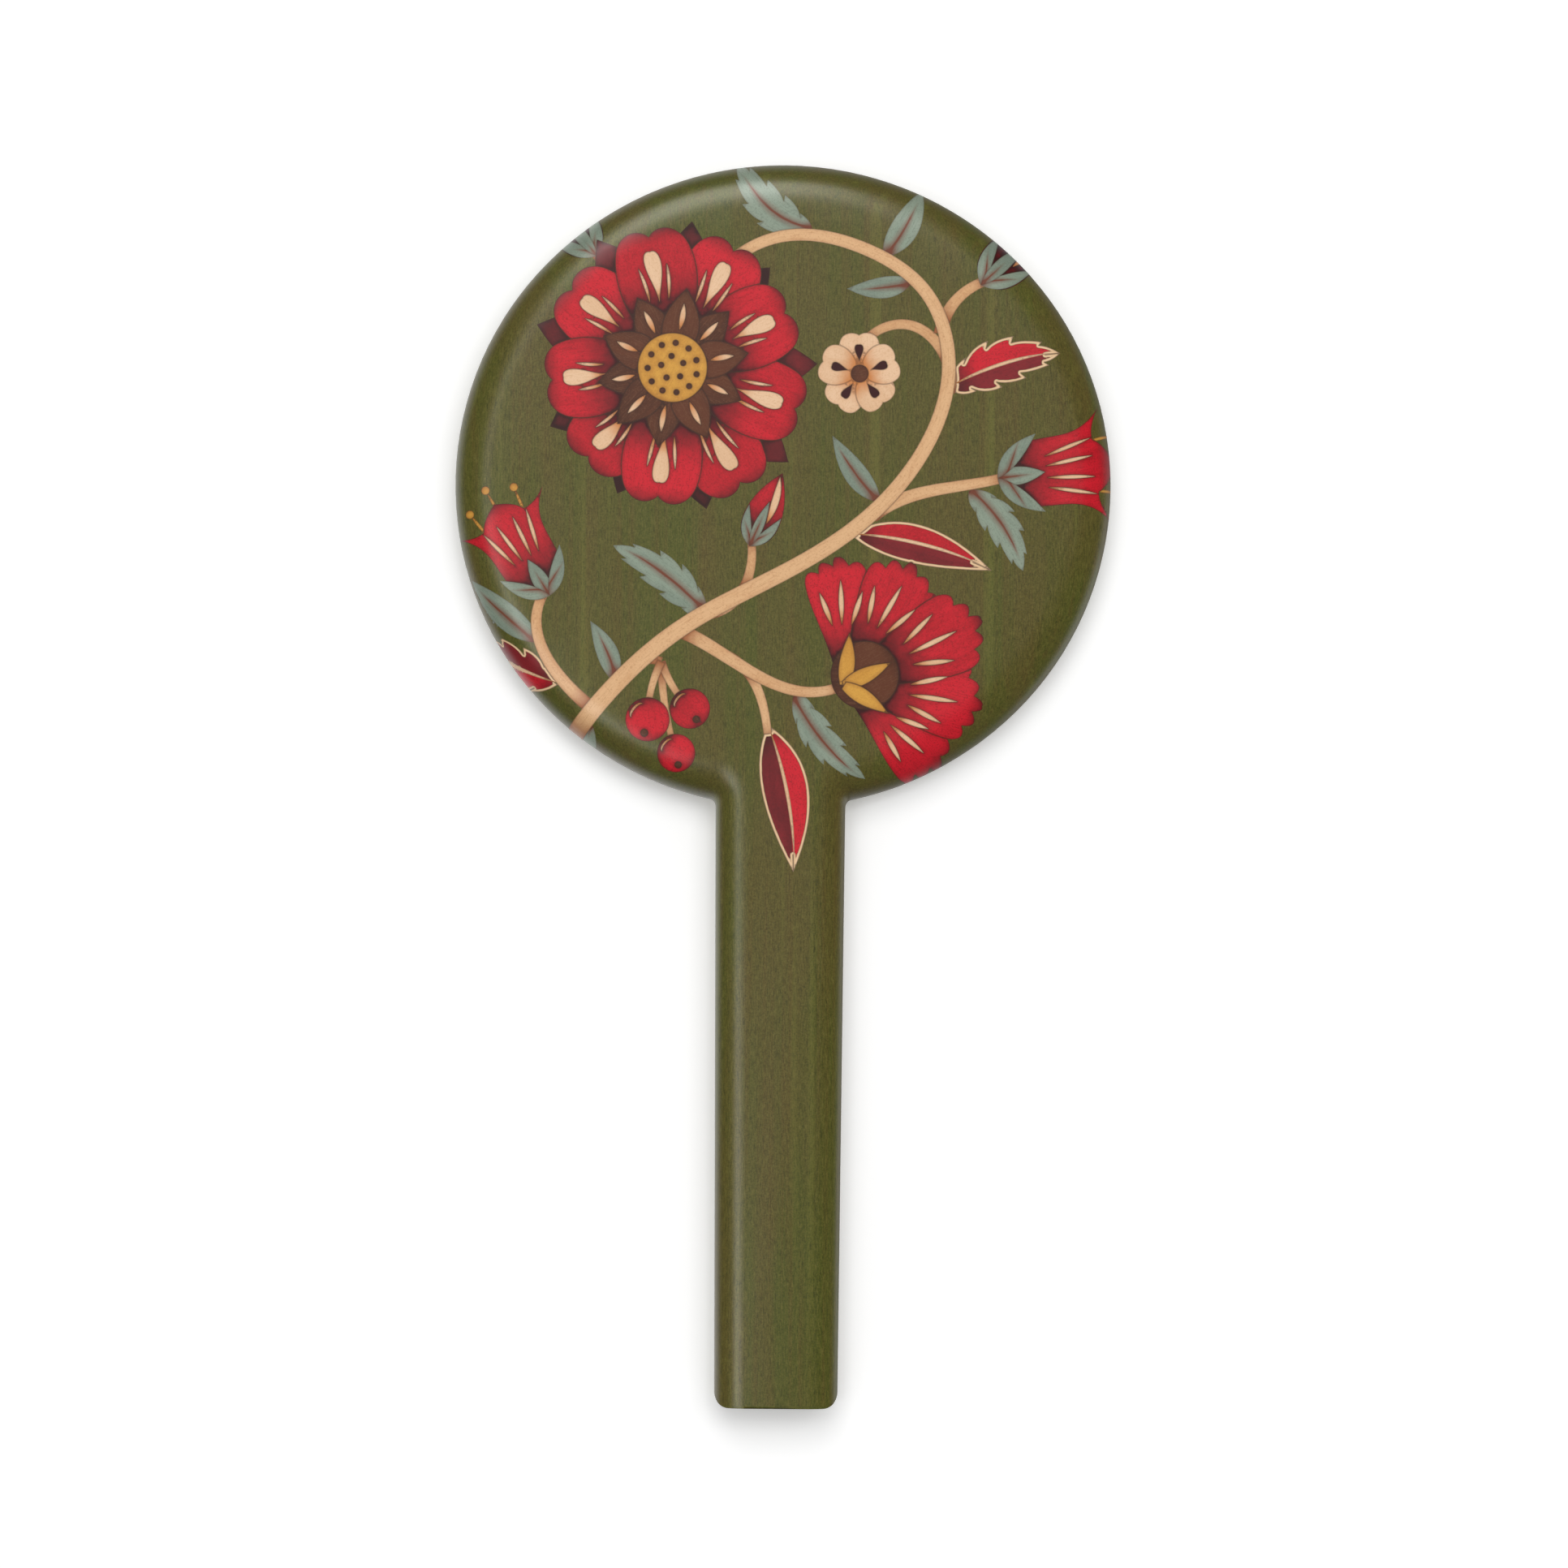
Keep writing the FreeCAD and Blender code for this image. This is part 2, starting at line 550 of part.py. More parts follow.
# the points of each branch, its width where it leaves the vine and at its end
BRANCHES = [
    ([(-23, -33), (-12, -39), (2, -46), FAN_FOOT], 3.2, 2.2),
    ([(20, -7), (30, -2), (40, 0), RIGHT_BELL], 3.2, 2.2),
    ([(35, 34), (38, 41), RIGHT_BUD], 3.0, 2.2),
    ([(-42, -51), (-51, -42), (-55, -33), LEFT_BELL], 3.2, 2.2),
    ([(37, 21), (35, 31), (28, 36), (20, 34), SMALL_BLOSSOM], 2.8, 1.8),
    ([(-16, -29), (-9, -24), (-7, -18), MIDDLE_BUD], 2.8, 1.8),
    ([(-34, -42), (-30, -39.5), BERRY_STALK], 2.6, 2.0),
    ([(-14, -38), (-7, -43), (-4, -50), (-3, -56)], 2.6, 1.8),
    ([(-33, 40), (-38, 46), TOP_BUD], 2.6, 2.0),
]
for points, thick, thin in BRANCHES:
    lay("inlay_branches", stem_cutting(points, thick, thin))

split_leaf((-3, -54), (3, -87), 12, 2.2)
split_leaf((15, -11), (47, -19), 10, 2.4)
split_leaf((-50, -45), (-72, -34), 10, 1.5, teeth=4)
split_leaf((37, 22), (62, 30), 11, 2.0, teeth=4)

# foot, tip, width, bow and teeth of each blue leaf
BLUE_LEAVES = [
    ((6, 56), (-11, 73), 9, 2.5, 4),
    ((22, 51), (31, 67), 7, -1.5, 0),
    ((29, 46), (14, 44), 5.5, 1.2, 0),
    ((-17, -30), (-38, -14), 8.5, -2, 4),
    ((42, -1), (54, -19), 8, 1.8, 4),
    ((22, -4), (11, 11), 6, 1.2, 0),
    ((-54, -36), (-70, -22), 6.5, 1.2, 0),
    ((-43, -53), (-49, -70), 6.5, 1.2, 0),
    ((-37, -45), (-43, -31), 5.5, -1.2, 0),
    ((3, -47), (19, -66), 7.5, -2, 4),
]
for foot, tip, width, bow, teeth in BLUE_LEAVES:
    runs = closed(toothed(teeth)) if teeth else LEAF
    lay("blue_leaves", cutting(Place(foot, tip, width, bow), runs))

# ---------------------------------------------------------------- marquetry: sawn and laid
# Flat first: every cutting loses what lies under the earlier ones. Then each is sawn
# straight through the veneer of the back, and the ground veneer is what is left over.

SLIVER = 0.3  # square millimetres, below which a scrap isn't worth sawing


def fitted(cuttings):
    """The visible faces under each label, edge to edge."""
    faces, laid = {}, []
    for label, face in cuttings:
        over = [other for other in laid if other.BoundBox.intersect(face.BoundBox)]
        visible = face.cut(over) if over else face
        for scrap in visible.Faces:
            if scrap.Area > SLIVER:
                faces.setdefault(label, []).append(scrap)
                laid.append(scrap)
    return faces, laid


def sawn(face, sheet_of_veneer):
    """The solids that a flat outline cuts from the veneer on the back."""
    return sheet_of_veneer.common(face.extrude(Vector(0, 0, 2 * size_of("body_thickness")))).Solids


def inlay(label, solids):
    feature = doc.addObject("Part::Feature", "cut_" + label)
    feature.Shape = Part.makeCompound(solids)
    return subpart(feature, label)


faces, laid = fitted(picture)
veneer_sheet = back_skin.Shape
for label, pieces in faces.items():
    inlay(label, [solid for face in pieces for solid in sawn(face, veneer_sheet)])

reach = 2 * size_of("overall_length")
blank = Part.makePlane(reach, reach, Vector(-reach / 2, -reach / 2, 0))
inlay("back_veneer", [solid for face in blank.cut(laid).Faces for solid in sawn(face, veneer_sheet)])

# the cuttings must fill the whole sheet: a boolean that fails would leave a hole without a word
LEFT_OUT = 0.001
filled = sum(part.Shape.Volume for part in subparts if part.Name.startswith("cut_"))
if abs(filled / veneer_sheet.Volume - 1) > LEFT_OUT:
    raise RuntimeError("the cuttings fill %.1f of %.1f mm3" % (filled, veneer_sheet.Volume))
print("the cuttings fill %.1f of %.1f mm3" % (filled, veneer_sheet.Volume))

# ---------------------------------------------------------------- standing it up, checks, files

end_y = size_of("overall_length") - size_of("head_height") / 2
upright = FreeCAD.Placement(Vector(0, size_of("body_thickness") / 2, end_y),
                            FreeCAD.Rotation(Vector(1, 0, 0), 90))
for part in subparts:
    part.Placement = upright
doc.recompute()

for feature in doc.Objects:
    faults = {"Invalid", "Error"} & set(feature.State)
    if faults:
        raise RuntimeError("%s: %s" % (feature.Label, feature.getStatusString()))
os.makedirs("parts", exist_ok=True)
for part in subparts:
    if part.Shape.isNull() or not part.Shape.isValid():
        raise RuntimeError("%s has no valid shape" % part.Label)
for part in subparts:
    part.Shape.exportStep("parts/%s.step" % part.Label)
print("%d sub-parts written" % len(subparts))
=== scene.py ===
# %% [markdown]
# # A hand mirror with a marquetry back
#
# The object is a wooden hand mirror: a flat, nearly round head on a straight handle. Every
# face of it is dressed in thin dyed veneer, and the back of the head carries a picture sawn
# from other veneers: flowers, leaves and stems, each cutting fitted against the next. The
# imported model already holds every cutting as a solid, so it is loaded first, and all
# later cells dress what it holds.

# %% Load the imported model
import math
import random

import bmesh
import bpy
import numpy as np
from mathutils import Matrix, Vector, kdtree


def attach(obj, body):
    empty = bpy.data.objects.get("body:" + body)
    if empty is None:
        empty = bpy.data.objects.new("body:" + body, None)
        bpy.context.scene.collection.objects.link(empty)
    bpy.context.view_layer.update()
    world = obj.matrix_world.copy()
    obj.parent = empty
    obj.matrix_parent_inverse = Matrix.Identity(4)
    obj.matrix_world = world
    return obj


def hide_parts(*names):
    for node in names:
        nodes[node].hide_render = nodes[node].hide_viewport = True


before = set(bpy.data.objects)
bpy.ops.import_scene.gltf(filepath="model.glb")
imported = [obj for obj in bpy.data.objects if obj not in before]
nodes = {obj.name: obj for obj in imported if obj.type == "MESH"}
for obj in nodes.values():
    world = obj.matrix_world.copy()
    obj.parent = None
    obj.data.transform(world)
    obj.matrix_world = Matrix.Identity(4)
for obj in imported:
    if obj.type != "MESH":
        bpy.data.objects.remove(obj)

for spare in ("Cube", "Camera", "Light"):
    if spare in bpy.data.objects:
        bpy.data.objects.remove(bpy.data.objects[spare])
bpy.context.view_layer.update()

# %% [markdown]
# ## The finished surface as a formula
#
# On the real mirror the veneers were pressed on and the whole body was then sanded and
# varnished as one, so the surface flows over every joint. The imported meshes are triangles
# cut along those joints, and shading them one by one would show each triangle on the glossy
# rounded edge. A formula for the sanded surface cures that: it says how far any point lies
# outside the body, and its slope is the true surface direction. The same few sizes describe
# it as describe the solids, with two touches of the sandpaper. The back edge is not quite an
# arc but eases into the flat, never more than 0.07 mm from the arc, so that a highlight on it
# fades inwards instead of stopping at a line. And where the handle meets the head, the solids
# have a sharp inner corner that the formula rounds with a small arc in the outline.

# %% Sizes of the body, in millimetres
MM = 0.001
HEAD_WIDTH, HEAD_HEIGHT, OVERALL = 148.0, 145.0, 280.0
HALF_THICKNESS = 8.0
HEAD_ROUND, HANDLE_ROUND, FRONT_ROUND = 9.2, 6.8, 2.0
HANDLE_END_WIDTH, HANDLE_ROOT_WIDTH, HANDLE_ROOT, END_CORNER = 27.8, 29.6, 40.0, 3.2
HEAD_Z = OVERALL - HEAD_HEIGHT / 2
ARC_SHIFT = (HEAD_WIDTH - HEAD_HEIGHT) / 2 / (2 - math.sqrt(2))
SIDE_ARC, TOP_ARC = HEAD_WIDTH / 2 - ARC_SHIFT, HEAD_HEIGHT / 2 + ARC_SHIFT
EASED_POWER = 2.4
EASED_REACH = (1 - 2 ** -0.5) / (1 - 2 ** (-1 / EASED_POWER))
NECK_X, NECK_ARC = 14.65, 1.7
NECK_Z = HEAD_Z + ARC_SHIFT - math.sqrt(TOP_ARC ** 2 - NECK_X ** 2)
ARC_X = NECK_X + NECK_ARC
ARC_Z = HEAD_Z + ARC_SHIFT - math.sqrt((TOP_ARC + NECK_ARC) ** 2 - ARC_X ** 2)
print("head centre at", HEAD_Z, "mm, neck at", round(NECK_Z, 2), "mm")


# %% The oval outline and the handle's outline, seen flat
def oval_outline(x, z):
    """Distance outside the head's oval, which is four arcs that meet on the diagonals."""
    at_side = np.hypot(np.abs(x) - ARC_SHIFT, z) - SIDE_ARC
    above = np.hypot(x, np.abs(z) + ARC_SHIFT) - TOP_ARC
    return np.where(np.abs(z) < np.abs(x) - ARC_SHIFT, at_side, above)


def corner_between(a, b, radius, power=2.0):
    """Distance outside two faces that meet in a rounded corner; a power of 2 makes it an arc."""
    a, b = a + radius, b + radius
    bend = (np.maximum(a, 0) ** power + np.maximum(b, 0) ** power) ** (1 / power)
    return bend + np.minimum(np.maximum(a, b), 0) - radius


def plate(outline, y, back_round):
    """Distance outside a plate with a generous, hand-eased back edge and a small front edge."""
    back = corner_between(outline, -y - HALF_THICKNESS, back_round * EASED_REACH, EASED_POWER)
    front = corner_between(outline, y - HALF_THICKNESS, FRONT_ROUND)
    return np.maximum(back, front)


print("widest point of the oval:", oval_outline(np.array([74.0]), np.array([0.0])), "mm off its outline")


# %% The body as it was built, the body as it was sanded, and the way its surface faces
def handle_side(x, z):
    """Distance outside the handle's straight sides, which lean apart towards the head."""
    root_z = HEAD_Z - HANDLE_ROOT
    return np.abs(x) - (HANDLE_END_WIDTH + (HANDLE_ROOT_WIDTH - HANDLE_END_WIDTH) * z / root_z) / 2


def outside_solids(points):
    """How far each point, in millimetres, lies outside the head and handle as two solids."""
    x, y, z = np.asarray(points, float).T
    head = plate(oval_outline(x, z - HEAD_Z), y, HEAD_ROUND)
    side = handle_side(x, z)
    bar = np.maximum(plate(side, y, HANDLE_ROUND), corner_between(side, -z, END_CORNER))
    return np.minimum(head, np.where(z > HEAD_Z - HANDLE_ROOT, OVERALL, bar))


def outside(points):
    """The same for the sanded body, whose neck is rounded."""
    x, y, z = np.asarray(points, float).T
    from_arc_x, from_arc_z = np.abs(x) - ARC_X, z - ARC_Z
    to_head_x, to_head_z = -ARC_X, HEAD_Z + ARC_SHIFT - ARC_Z
    between = (from_arc_z > 0) & (to_head_x * from_arc_z - to_head_z * from_arc_x > 0)
    turned = np.arctan2(from_arc_z, -from_arc_x) / math.atan2(to_head_z, -to_head_x)
    ease = np.clip(turned, 0, 1) ** 2 * (3 - 2 * np.clip(turned, 0, 1))
    hollow = plate(NECK_ARC - np.hypot(from_arc_x, from_arc_z), y,
                   HANDLE_ROUND + (HEAD_ROUND - HANDLE_ROUND) * ease)
    return np.where(between, hollow, outside_solids(points))


def slope(points, surface=outside):
    """The gradient of that distance at each point."""
    step = 0.01
    ways = step * np.eye(3)
    return np.stack([surface(points + way) - surface(points - way) for way in ways], 1) / (2 * step)


def facing(points, surface=outside):
    """The unit direction the surface faces at each point."""
    steep = slope(points, surface)
    return steep / np.maximum(np.linalg.norm(steep, axis=1, keepdims=True), 1e-9)


print("the top of the head faces", facing(np.array([[0.0, 2.0, OVERALL]])).round(3))

# %% [markdown]
# ## From packed triangles to pieces that can be painted
#
# Each cutting needs three things that its packed triangles lack. Its corners must be merged,
# solid by solid, because neighbours in one node touch. It needs many small cells, so that
# shading can change across a petal. And it needs to know itself: how far each point is from
# its own sawn edge, how far along the petal it lies, and which way its grain runs. Bisecting
# with evenly spaced planes makes the cells, and vertex attributes carry the rest to the
# materials. A texture painted flat would not follow the pieces when their sizes change.

# %% Take a CAD node apart into closed solids
SAME_POINT, MICRONS = 1e-3 * MM, 1000


def merged(places, triangles):
    """A bmesh of some triangles with its corners merged, ready to be painted."""
    solid = bmesh.new()
    solid.faces.layers.int.new("outer")
    for name in ("edge", "from_foot", "to_tip"):
        solid.verts.layers.float.new(name)
    solid.verts.layers.float_vector.new("grain")
    corner_at = {k: solid.verts.new(places[k]) for k in sorted({k for three in triangles for k in three})}
    for three in triangles:
        solid.faces.new([corner_at[k] for k in three])
    bmesh.ops.remove_doubles(solid, verts=solid.verts, dist=SAME_POINT)
    return solid


def closed_solids(node):
    """One bmesh for each closed solid of a node, in the order they were packed."""
    mesh = nodes[node].data
    places = [corner.co.copy() for corner in mesh.vertices]
    keys = [tuple(round(c / MM * MICRONS) for c in place) for place in places]
    solids, run, waiting = [], [], set()
    for polygon in mesh.polygons:
        run.append(tuple(polygon.vertices))
        around = [keys[k] for k in polygon.vertices]
        for pair in zip(around, around[1:] + around[:1]):
            if pair[0] != pair[1]:
                waiting ^= {pair[::-1]} if pair[::-1] in waiting else {pair}
        if not waiting:
            solids.append(merged(places, run))
            run = []
    return solids


print("the vine is", len(closed_solids("inlay_vine")), "solid, the ground", len(closed_solids("back_veneer")))


# %% Slice a solid into cells, and settle it on the true surface
NEAR_SURFACE, SAME_WAY = 0.2, 0.7
SETTLING_ROUNDS, LEAST_STEEPNESS = 3, 0.2


def slice_up(solid, axis, stations, near=None):
    """Cut the faces with planes across one axis; near limits which faces are cut."""
    normal = Vector([float(k == axis) for k in range(3)])
    for station in stations:
        faces = [f for f in solid.faces if near is None or near(f.calc_center_median() / MM)]
        parts = {part for face in faces for part in (face, *face.edges, *face.verts)}
        bmesh.ops.bisect_plane(solid, geom=list(parts), dist=SAME_POINT,
                               plane_co=normal * station * MM, plane_no=normal)


def stations_across(solid, axis, pitch):
    """Evenly spaced cutting places between the solid's two ends along an axis."""
    reach = [corner.co[axis] / MM for corner in solid.verts]
    first, last = math.floor(min(reach) / pitch) + 1, math.ceil(max(reach) / pitch)
    return [k * pitch for k in range(first, last)]


def outer_faces(solid):
    """The faces that lie on the finished surface, not the sawn walls or the glued side."""
    solid.normal_update()
    faces = list(solid.faces)
    middles = np.array([face.calc_center_median() for face in faces]) / MM
    turned = np.array([face.normal for face in faces])
    lines_up = (turned * facing(middles, outside_solids)).sum(1) > SAME_WAY
    shown = (np.abs(outside_solids(middles)) < NEAR_SURFACE) & lines_up
    return [face for face, seen in zip(faces, shown) if seen]


def settle(solid, faces):
    """Move the outer points onto the sanded surface, from the flat facets they were cut in."""
    corners = list({corner for face in faces for corner in face.verts})
    places = np.array([corner.co for corner in corners]) / MM
    for _ in range(SETTLING_ROUNDS):
        steep = slope(places)
        places -= steep * (outside(places) / np.maximum((steep ** 2).sum(1), LEAST_STEEPNESS))[:, None]
    for corner, place in zip(corners, places):
        corner.co = Vector(place * MM)


# %% [markdown]
# Smooth shading alone would average the directions of neighbouring triangles, and a sliver
# beside a big triangle would bend the reflection. So each face corner on the finished surface
# gets the formula's direction, asked for a little inside its face, where a sharp edge can't
# confuse it. Sawn walls keep their flat directions.

# %% Join solids into one object with true surface directions
INWARD_SHARE = 0.04


def joined(name, solids):
    """One object from finished solids, whose outer faces were marked in the layer 'outer'."""
    everything = bmesh.new()
    for solid in solids:
        scrap = bpy.data.meshes.new("scrap")
        solid.to_mesh(scrap)
        everything.from_mesh(scrap)
        bpy.data.meshes.remove(scrap)
    mesh = bpy.data.meshes.new(name)
    everything.to_mesh(mesh)
    everything.free()
    piece = bpy.data.objects.new(name, mesh)
    bpy.context.scene.collection.objects.link(piece)
    return piece


def numbers(source, name, width=1, kind=float):
    """One property of every vertex, loop or polygon, as an array."""
    values = np.zeros(len(source) * width, kind)
    source.foreach_get(name, values)
    return values.reshape(-1, width) if width > 1 else values


def face_truly(piece):
    """Give each face corner the formula's direction, or its flat one on a sawn wall."""
    mesh = piece.data
    mesh.polygons.foreach_set("use_smooth", [True] * len(mesh.polygons))
    face_of_loop = np.repeat(np.arange(len(mesh.polygons)), numbers(mesh.polygons, "loop_total", kind=int))
    flat = numbers(mesh.polygons, "normal", 3)[face_of_loop]
    middles = numbers(mesh.polygons, "center", 3)[face_of_loop] / MM
    corners = numbers(mesh.vertices, "co", 3)[numbers(mesh.loops, "vertex_index", kind=int)] / MM
    inward = corners + INWARD_SHARE * (middles - corners)
    outer = np.zeros(len(mesh.polygons), int)
    mesh.attributes["outer"].data.foreach_get("value", outer)
    true = np.where(outer[face_of_loop, None] > 0, facing(inward), flat)
    mesh.normals_split_custom_set(true.tolist())


def mark_outer(solid, faces):
    """Note which faces are the finished surface, for the joined mesh to know."""
    layer = solid.faces.layers.int["outer"]
    for face in faces:
        face[layer] = 1


# %% [markdown]
# ## Shader maths written as Python
#
# A material here is a small calculation: how dark the scorched tip is, how strong the grain
# is. Wiring that by hand, node by node, hides the idea. The class below wraps one socket, and
# its operators add the Math nodes, so a mask reads as a formula. Colours are mixed with Mix
# nodes, because a Math node would turn them grey.

# %% One class for sockets
class Tone:
    """A socket of the node tree that is being filled."""

    tree = None

    def __init__(self, socket):
        self.socket = socket

    @classmethod
    def node(cls, kind, settings=None, inputs=None, output=0):
        """Any node: its settings first, then the values or links of its sockets."""
        made = cls.tree.nodes.new(kind)
        for name, setting in (settings or {}).items():
            setattr(made, name, setting)
        for name, given in (inputs or {}).items():
            if isinstance(given, Tone):
                cls.tree.links.new(given.socket, made.inputs[name])
            else:
                made.inputs[name].default_value = given
        return cls(made.outputs[output])

    def maths(self, operation, *others):
        """This value and others through a Math node."""
        return Tone.node("ShaderNodeMath", {"operation": operation}, dict(enumerate((self, *others))))

    def __add__(self, other):
        return self.maths("ADD", other)

    __radd__ = __add__

    def __mul__(self, other):
        return self.maths("MULTIPLY", other)

    __rmul__ = __mul__

    def __sub__(self, other):
        return self.maths("SUBTRACT", other)

    def __rsub__(self, other):
        return Tone.node("ShaderNodeMath", {"operation": "SUBTRACT"}, {0: other, 1: self})

    def __truediv__(self, other):
        return self.maths("DIVIDE", other)

    def __pow__(self, other):
        return self.maths("POWER", other)


# %% Helpers that read well in a recipe
def step_up(value, start, end):
    """0 below start, 1 above end, smooth between; start may be the larger for a step down."""
    return Tone.node("ShaderNodeMapRange", {"interpolation_type": "SMOOTHSTEP"},
                     {"Value": value, "From Min": start, "From Max": end})


def mixed(share, first, second):
    """The first colour at a share of 0, the second at 1."""
    return Tone.node("ShaderNodeMix", {"data_type": "RGBA"}, {0: share, 6: first, 7: second}, 2)


def stretched(vector, x, y, z):
    """A vector with each axis scaled; small numbers draw a noise out along that axis."""
    return Tone.node("ShaderNodeVectorMath", {"operation": "MULTIPLY"}, {0: vector, 1: (x, y, z)})


def noise(vector, detail=2.0, rough=0.5):
    """Smooth noise about 0.5, with one lump to each unit of the vector."""
    return Tone.node("ShaderNodeTexNoise", None,
                     {"Vector": vector, "Scale": 1.0, "Detail": detail, "Roughness": rough})


def attribute(name, output="Fac"):
    """A value that a piece's own mesh carries."""
    return Tone.node("ShaderNodeAttribute", {"attribute_name": name}, None, output)


def paint(red, green, blue):
    """A colour as it is seen, 0 to 255, turned into the linear values that shaders use."""
    def linear(level):
        level /= 255
        return level / 12.92 if level <= 0.04045 else ((level + 0.055) / 1.055) ** 2.4
    return (linear(red), linear(green), linear(blue), 1.0)


def in_mm():
    """Object coordinates in millimetres."""
    place = Tone.node("ShaderNodeTexCoord", None, None, "Object")
    return Tone.node("ShaderNodeVectorMath", {"operation": "SCALE"}, {0: place, "Scale": 1 / MM})


GRIT_PER_MM, GRIT_DEPTH = 2.8, 0.5


def gritty(colour, dark, light, depth=GRIT_DEPTH):
    """The fine even speckle that wood shows between its fibres, darker and lighter by turns."""
    grit = noise(stretched(in_mm(), GRIT_PER_MM, GRIT_PER_MM, GRIT_PER_MM), 2, 0.6)
    colour = mixed(depth * step_up(grit, 0.5, 0.75), colour, dark)
    return mixed(depth * step_up(grit, 0.5, 0.25), colour, light)


print("mid green, linear:", [round(level, 3) for level in paint(94, 90, 55)])


# %% A varnished material
VARNISH_ROUGHNESS, VARNISH_IOR = 0.34, 1.47
BUMP_DEPTH = 0.02 * MM


def varnished(name, recipe, roughness=VARNISH_ROUGHNESS, bump=0.0, uneven=0.05):
    """A satin varnished wood; the recipe returns its colour and a height for the bump."""
    material = bpy.data.materials.new(name)
    material.use_nodes = True
    Tone.tree = material.node_tree
    shader = material.node_tree.nodes["Principled BSDF"]
    colour, height = recipe()
    Tone.tree.links.new(colour.socket, shader.inputs["Base Color"])
    shader.inputs["Roughness"].default_value = roughness
    if uneven:
        sheen = roughness + uneven * (noise(stretched(in_mm(), 0.3, 0.3, 0.12), 3) - 0.5)
        Tone.tree.links.new(sheen.socket, shader.inputs["Roughness"])
    shader.inputs["IOR"].default_value = VARNISH_IOR
    if bump:
        relief = Tone.node("ShaderNodeBump", None,
                           {"Strength": bump, "Distance": BUMP_DEPTH, "Height": height}, "Normal")
        Tone.tree.links.new(relief.socket, shader.inputs["Normal"])
    return material


# %% [markdown]
# ## The green ground
#
# The ground veneer is a fine, straight-grained wood dyed olive. Seen close it is a mass of
# short fibres, some olive brown and some a fresher green, that run up the mirror; seen from
# afar it changes slowly in long bands. Noises of several sizes, each stretched along the
# grain, give that without a picture: bands, patches, streaks, a few long pale rays, fibres.
# The pores took the dye differently and are left as tiny darker flecks. The strip bent round
# the head has its grain along the rim, and the handle's end has it from side to side.

# %% The green veneer's recipe
OLIVE, GREEN, BROWN = paint(90, 80, 33), paint(81, 84, 27), paint(95, 75, 33)
PALE_FIBRE, DARK_FIBRE = paint(111, 104, 48), paint(53, 54, 20)
PALE_RAY, DASH, FLECK = paint(108, 108, 42), paint(70, 84, 26), paint(62, 42, 22)


def run_up():
    """Millimetres with the grain running up the mirror."""
    return in_mm()


def run_sideways():
    """Millimetres with the grain turned to run left to right."""
    parts = Tone.node("ShaderNodeSeparateXYZ", None, {"Vector": in_mm()}).socket.node.outputs
    return Tone.node("ShaderNodeCombineXYZ", None, {"X": Tone(parts["Z"]), "Y": Tone(parts["Y"]),
                                                    "Z": Tone(parts["X"])})


def run_round():
    """Millimetres along the head's rim instead of up, so that the grain follows a bent strip."""
    parts = Tone.node("ShaderNodeSeparateXYZ", None, {"Vector": in_mm()}).socket.node.outputs
    x, up = Tone(parts["X"]), Tone(parts["Z"]) - HEAD_Z
    turned = x.maths("ARCTAN2", up)
    return Tone.node("ShaderNodeCombineXYZ", None, {"X": (x * x + up * up) ** 0.5, "Y": Tone(parts["Y"]),
                                                    "Z": turned * (HEAD_WIDTH / 2)})


def green_recipe(run):
    """The ground veneer's colour and relief, with its grain the way run turns it."""
    def recipe():
        place = run()
        bands = noise(stretched(place, 0.07, 0.07, 0.012), 2)
        patches = noise(stretched(place, 0.2, 0.2, 0.016), 3)
        streaks = noise(stretched(place, 0.7, 0.7, 0.012), 3)
        rays = noise(stretched(place, 0.3, 0.3, 0.004), 2)
        fibres = noise(stretched(place, 3.0, 3.0, 0.42), 4, 0.72)
        dashes = noise(stretched(place, 6.5, 6.5, 0.8), 2, 0.6)
        colour = mixed(step_up(bands + 0.6 * (patches - 0.5), 0.34, 0.68), OLIVE, GREEN)
        colour = mixed(0.45 * step_up(streaks, 0.46, 0.72), colour, BROWN)
        colour = mixed(0.5 * step_up(rays, 0.6, 0.72), colour, PALE_RAY)
        colour = mixed(0.8 * step_up(fibres, 0.48, 0.72), colour, PALE_FIBRE)
        colour = mixed(0.8 * step_up(fibres, 0.5, 0.28), colour, DARK_FIBRE)
        colour = gritty(colour, DARK_FIBRE, PALE_FIBRE)
        colour = mixed(0.4 * step_up(dashes, 0.55, 0.76), colour, DASH)
        flecks = noise(stretched(place, 2.6, 2.6, 0.9), 1)
        colour = mixed(0.5 * step_up(flecks, 0.72, 0.8), colour, FLECK)
        return colour, fibres
    return recipe


green_veneer = varnished("green_veneer", green_recipe(run_up), bump=0.25)
green_strip = varnished("green_veneer_round", green_recipe(run_round), bump=0.25)
green_end = varnished("green_veneer_across", green_recipe(run_sideways), bump=0.25)
print("made", green_veneer.name, green_strip.name, green_end.name)

# %% [markdown]
# ## Dressing the body
#
# The green sheets are the back ground, the front sheet round the glass, and the strips round
# the edges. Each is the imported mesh, merged, sliced into narrow bands over its rounded edges
# and settled on the formula's surface, so its highlights run clean from the head into the
# handle. Round the neck the cells are smaller, because the fillet lives there.

# %% Replace the green sheets
NECK_REACH, NECK_CELL = 13.0, 0.5
ROUNDING_CUTS = [-7.8, -7.4, -6.9, -6.2, -5.4, -4.5, -3.5, -2.4, -1.2, 0.0, 6.4, 6.9, 7.4, 7.8]


def near_neck(middle):
    """Whether a face lies about one of the two corners where handle and head meet."""
    return abs(abs(middle.x) - NECK_X) < NECK_REACH and abs(middle.z - NECK_Z) < NECK_REACH


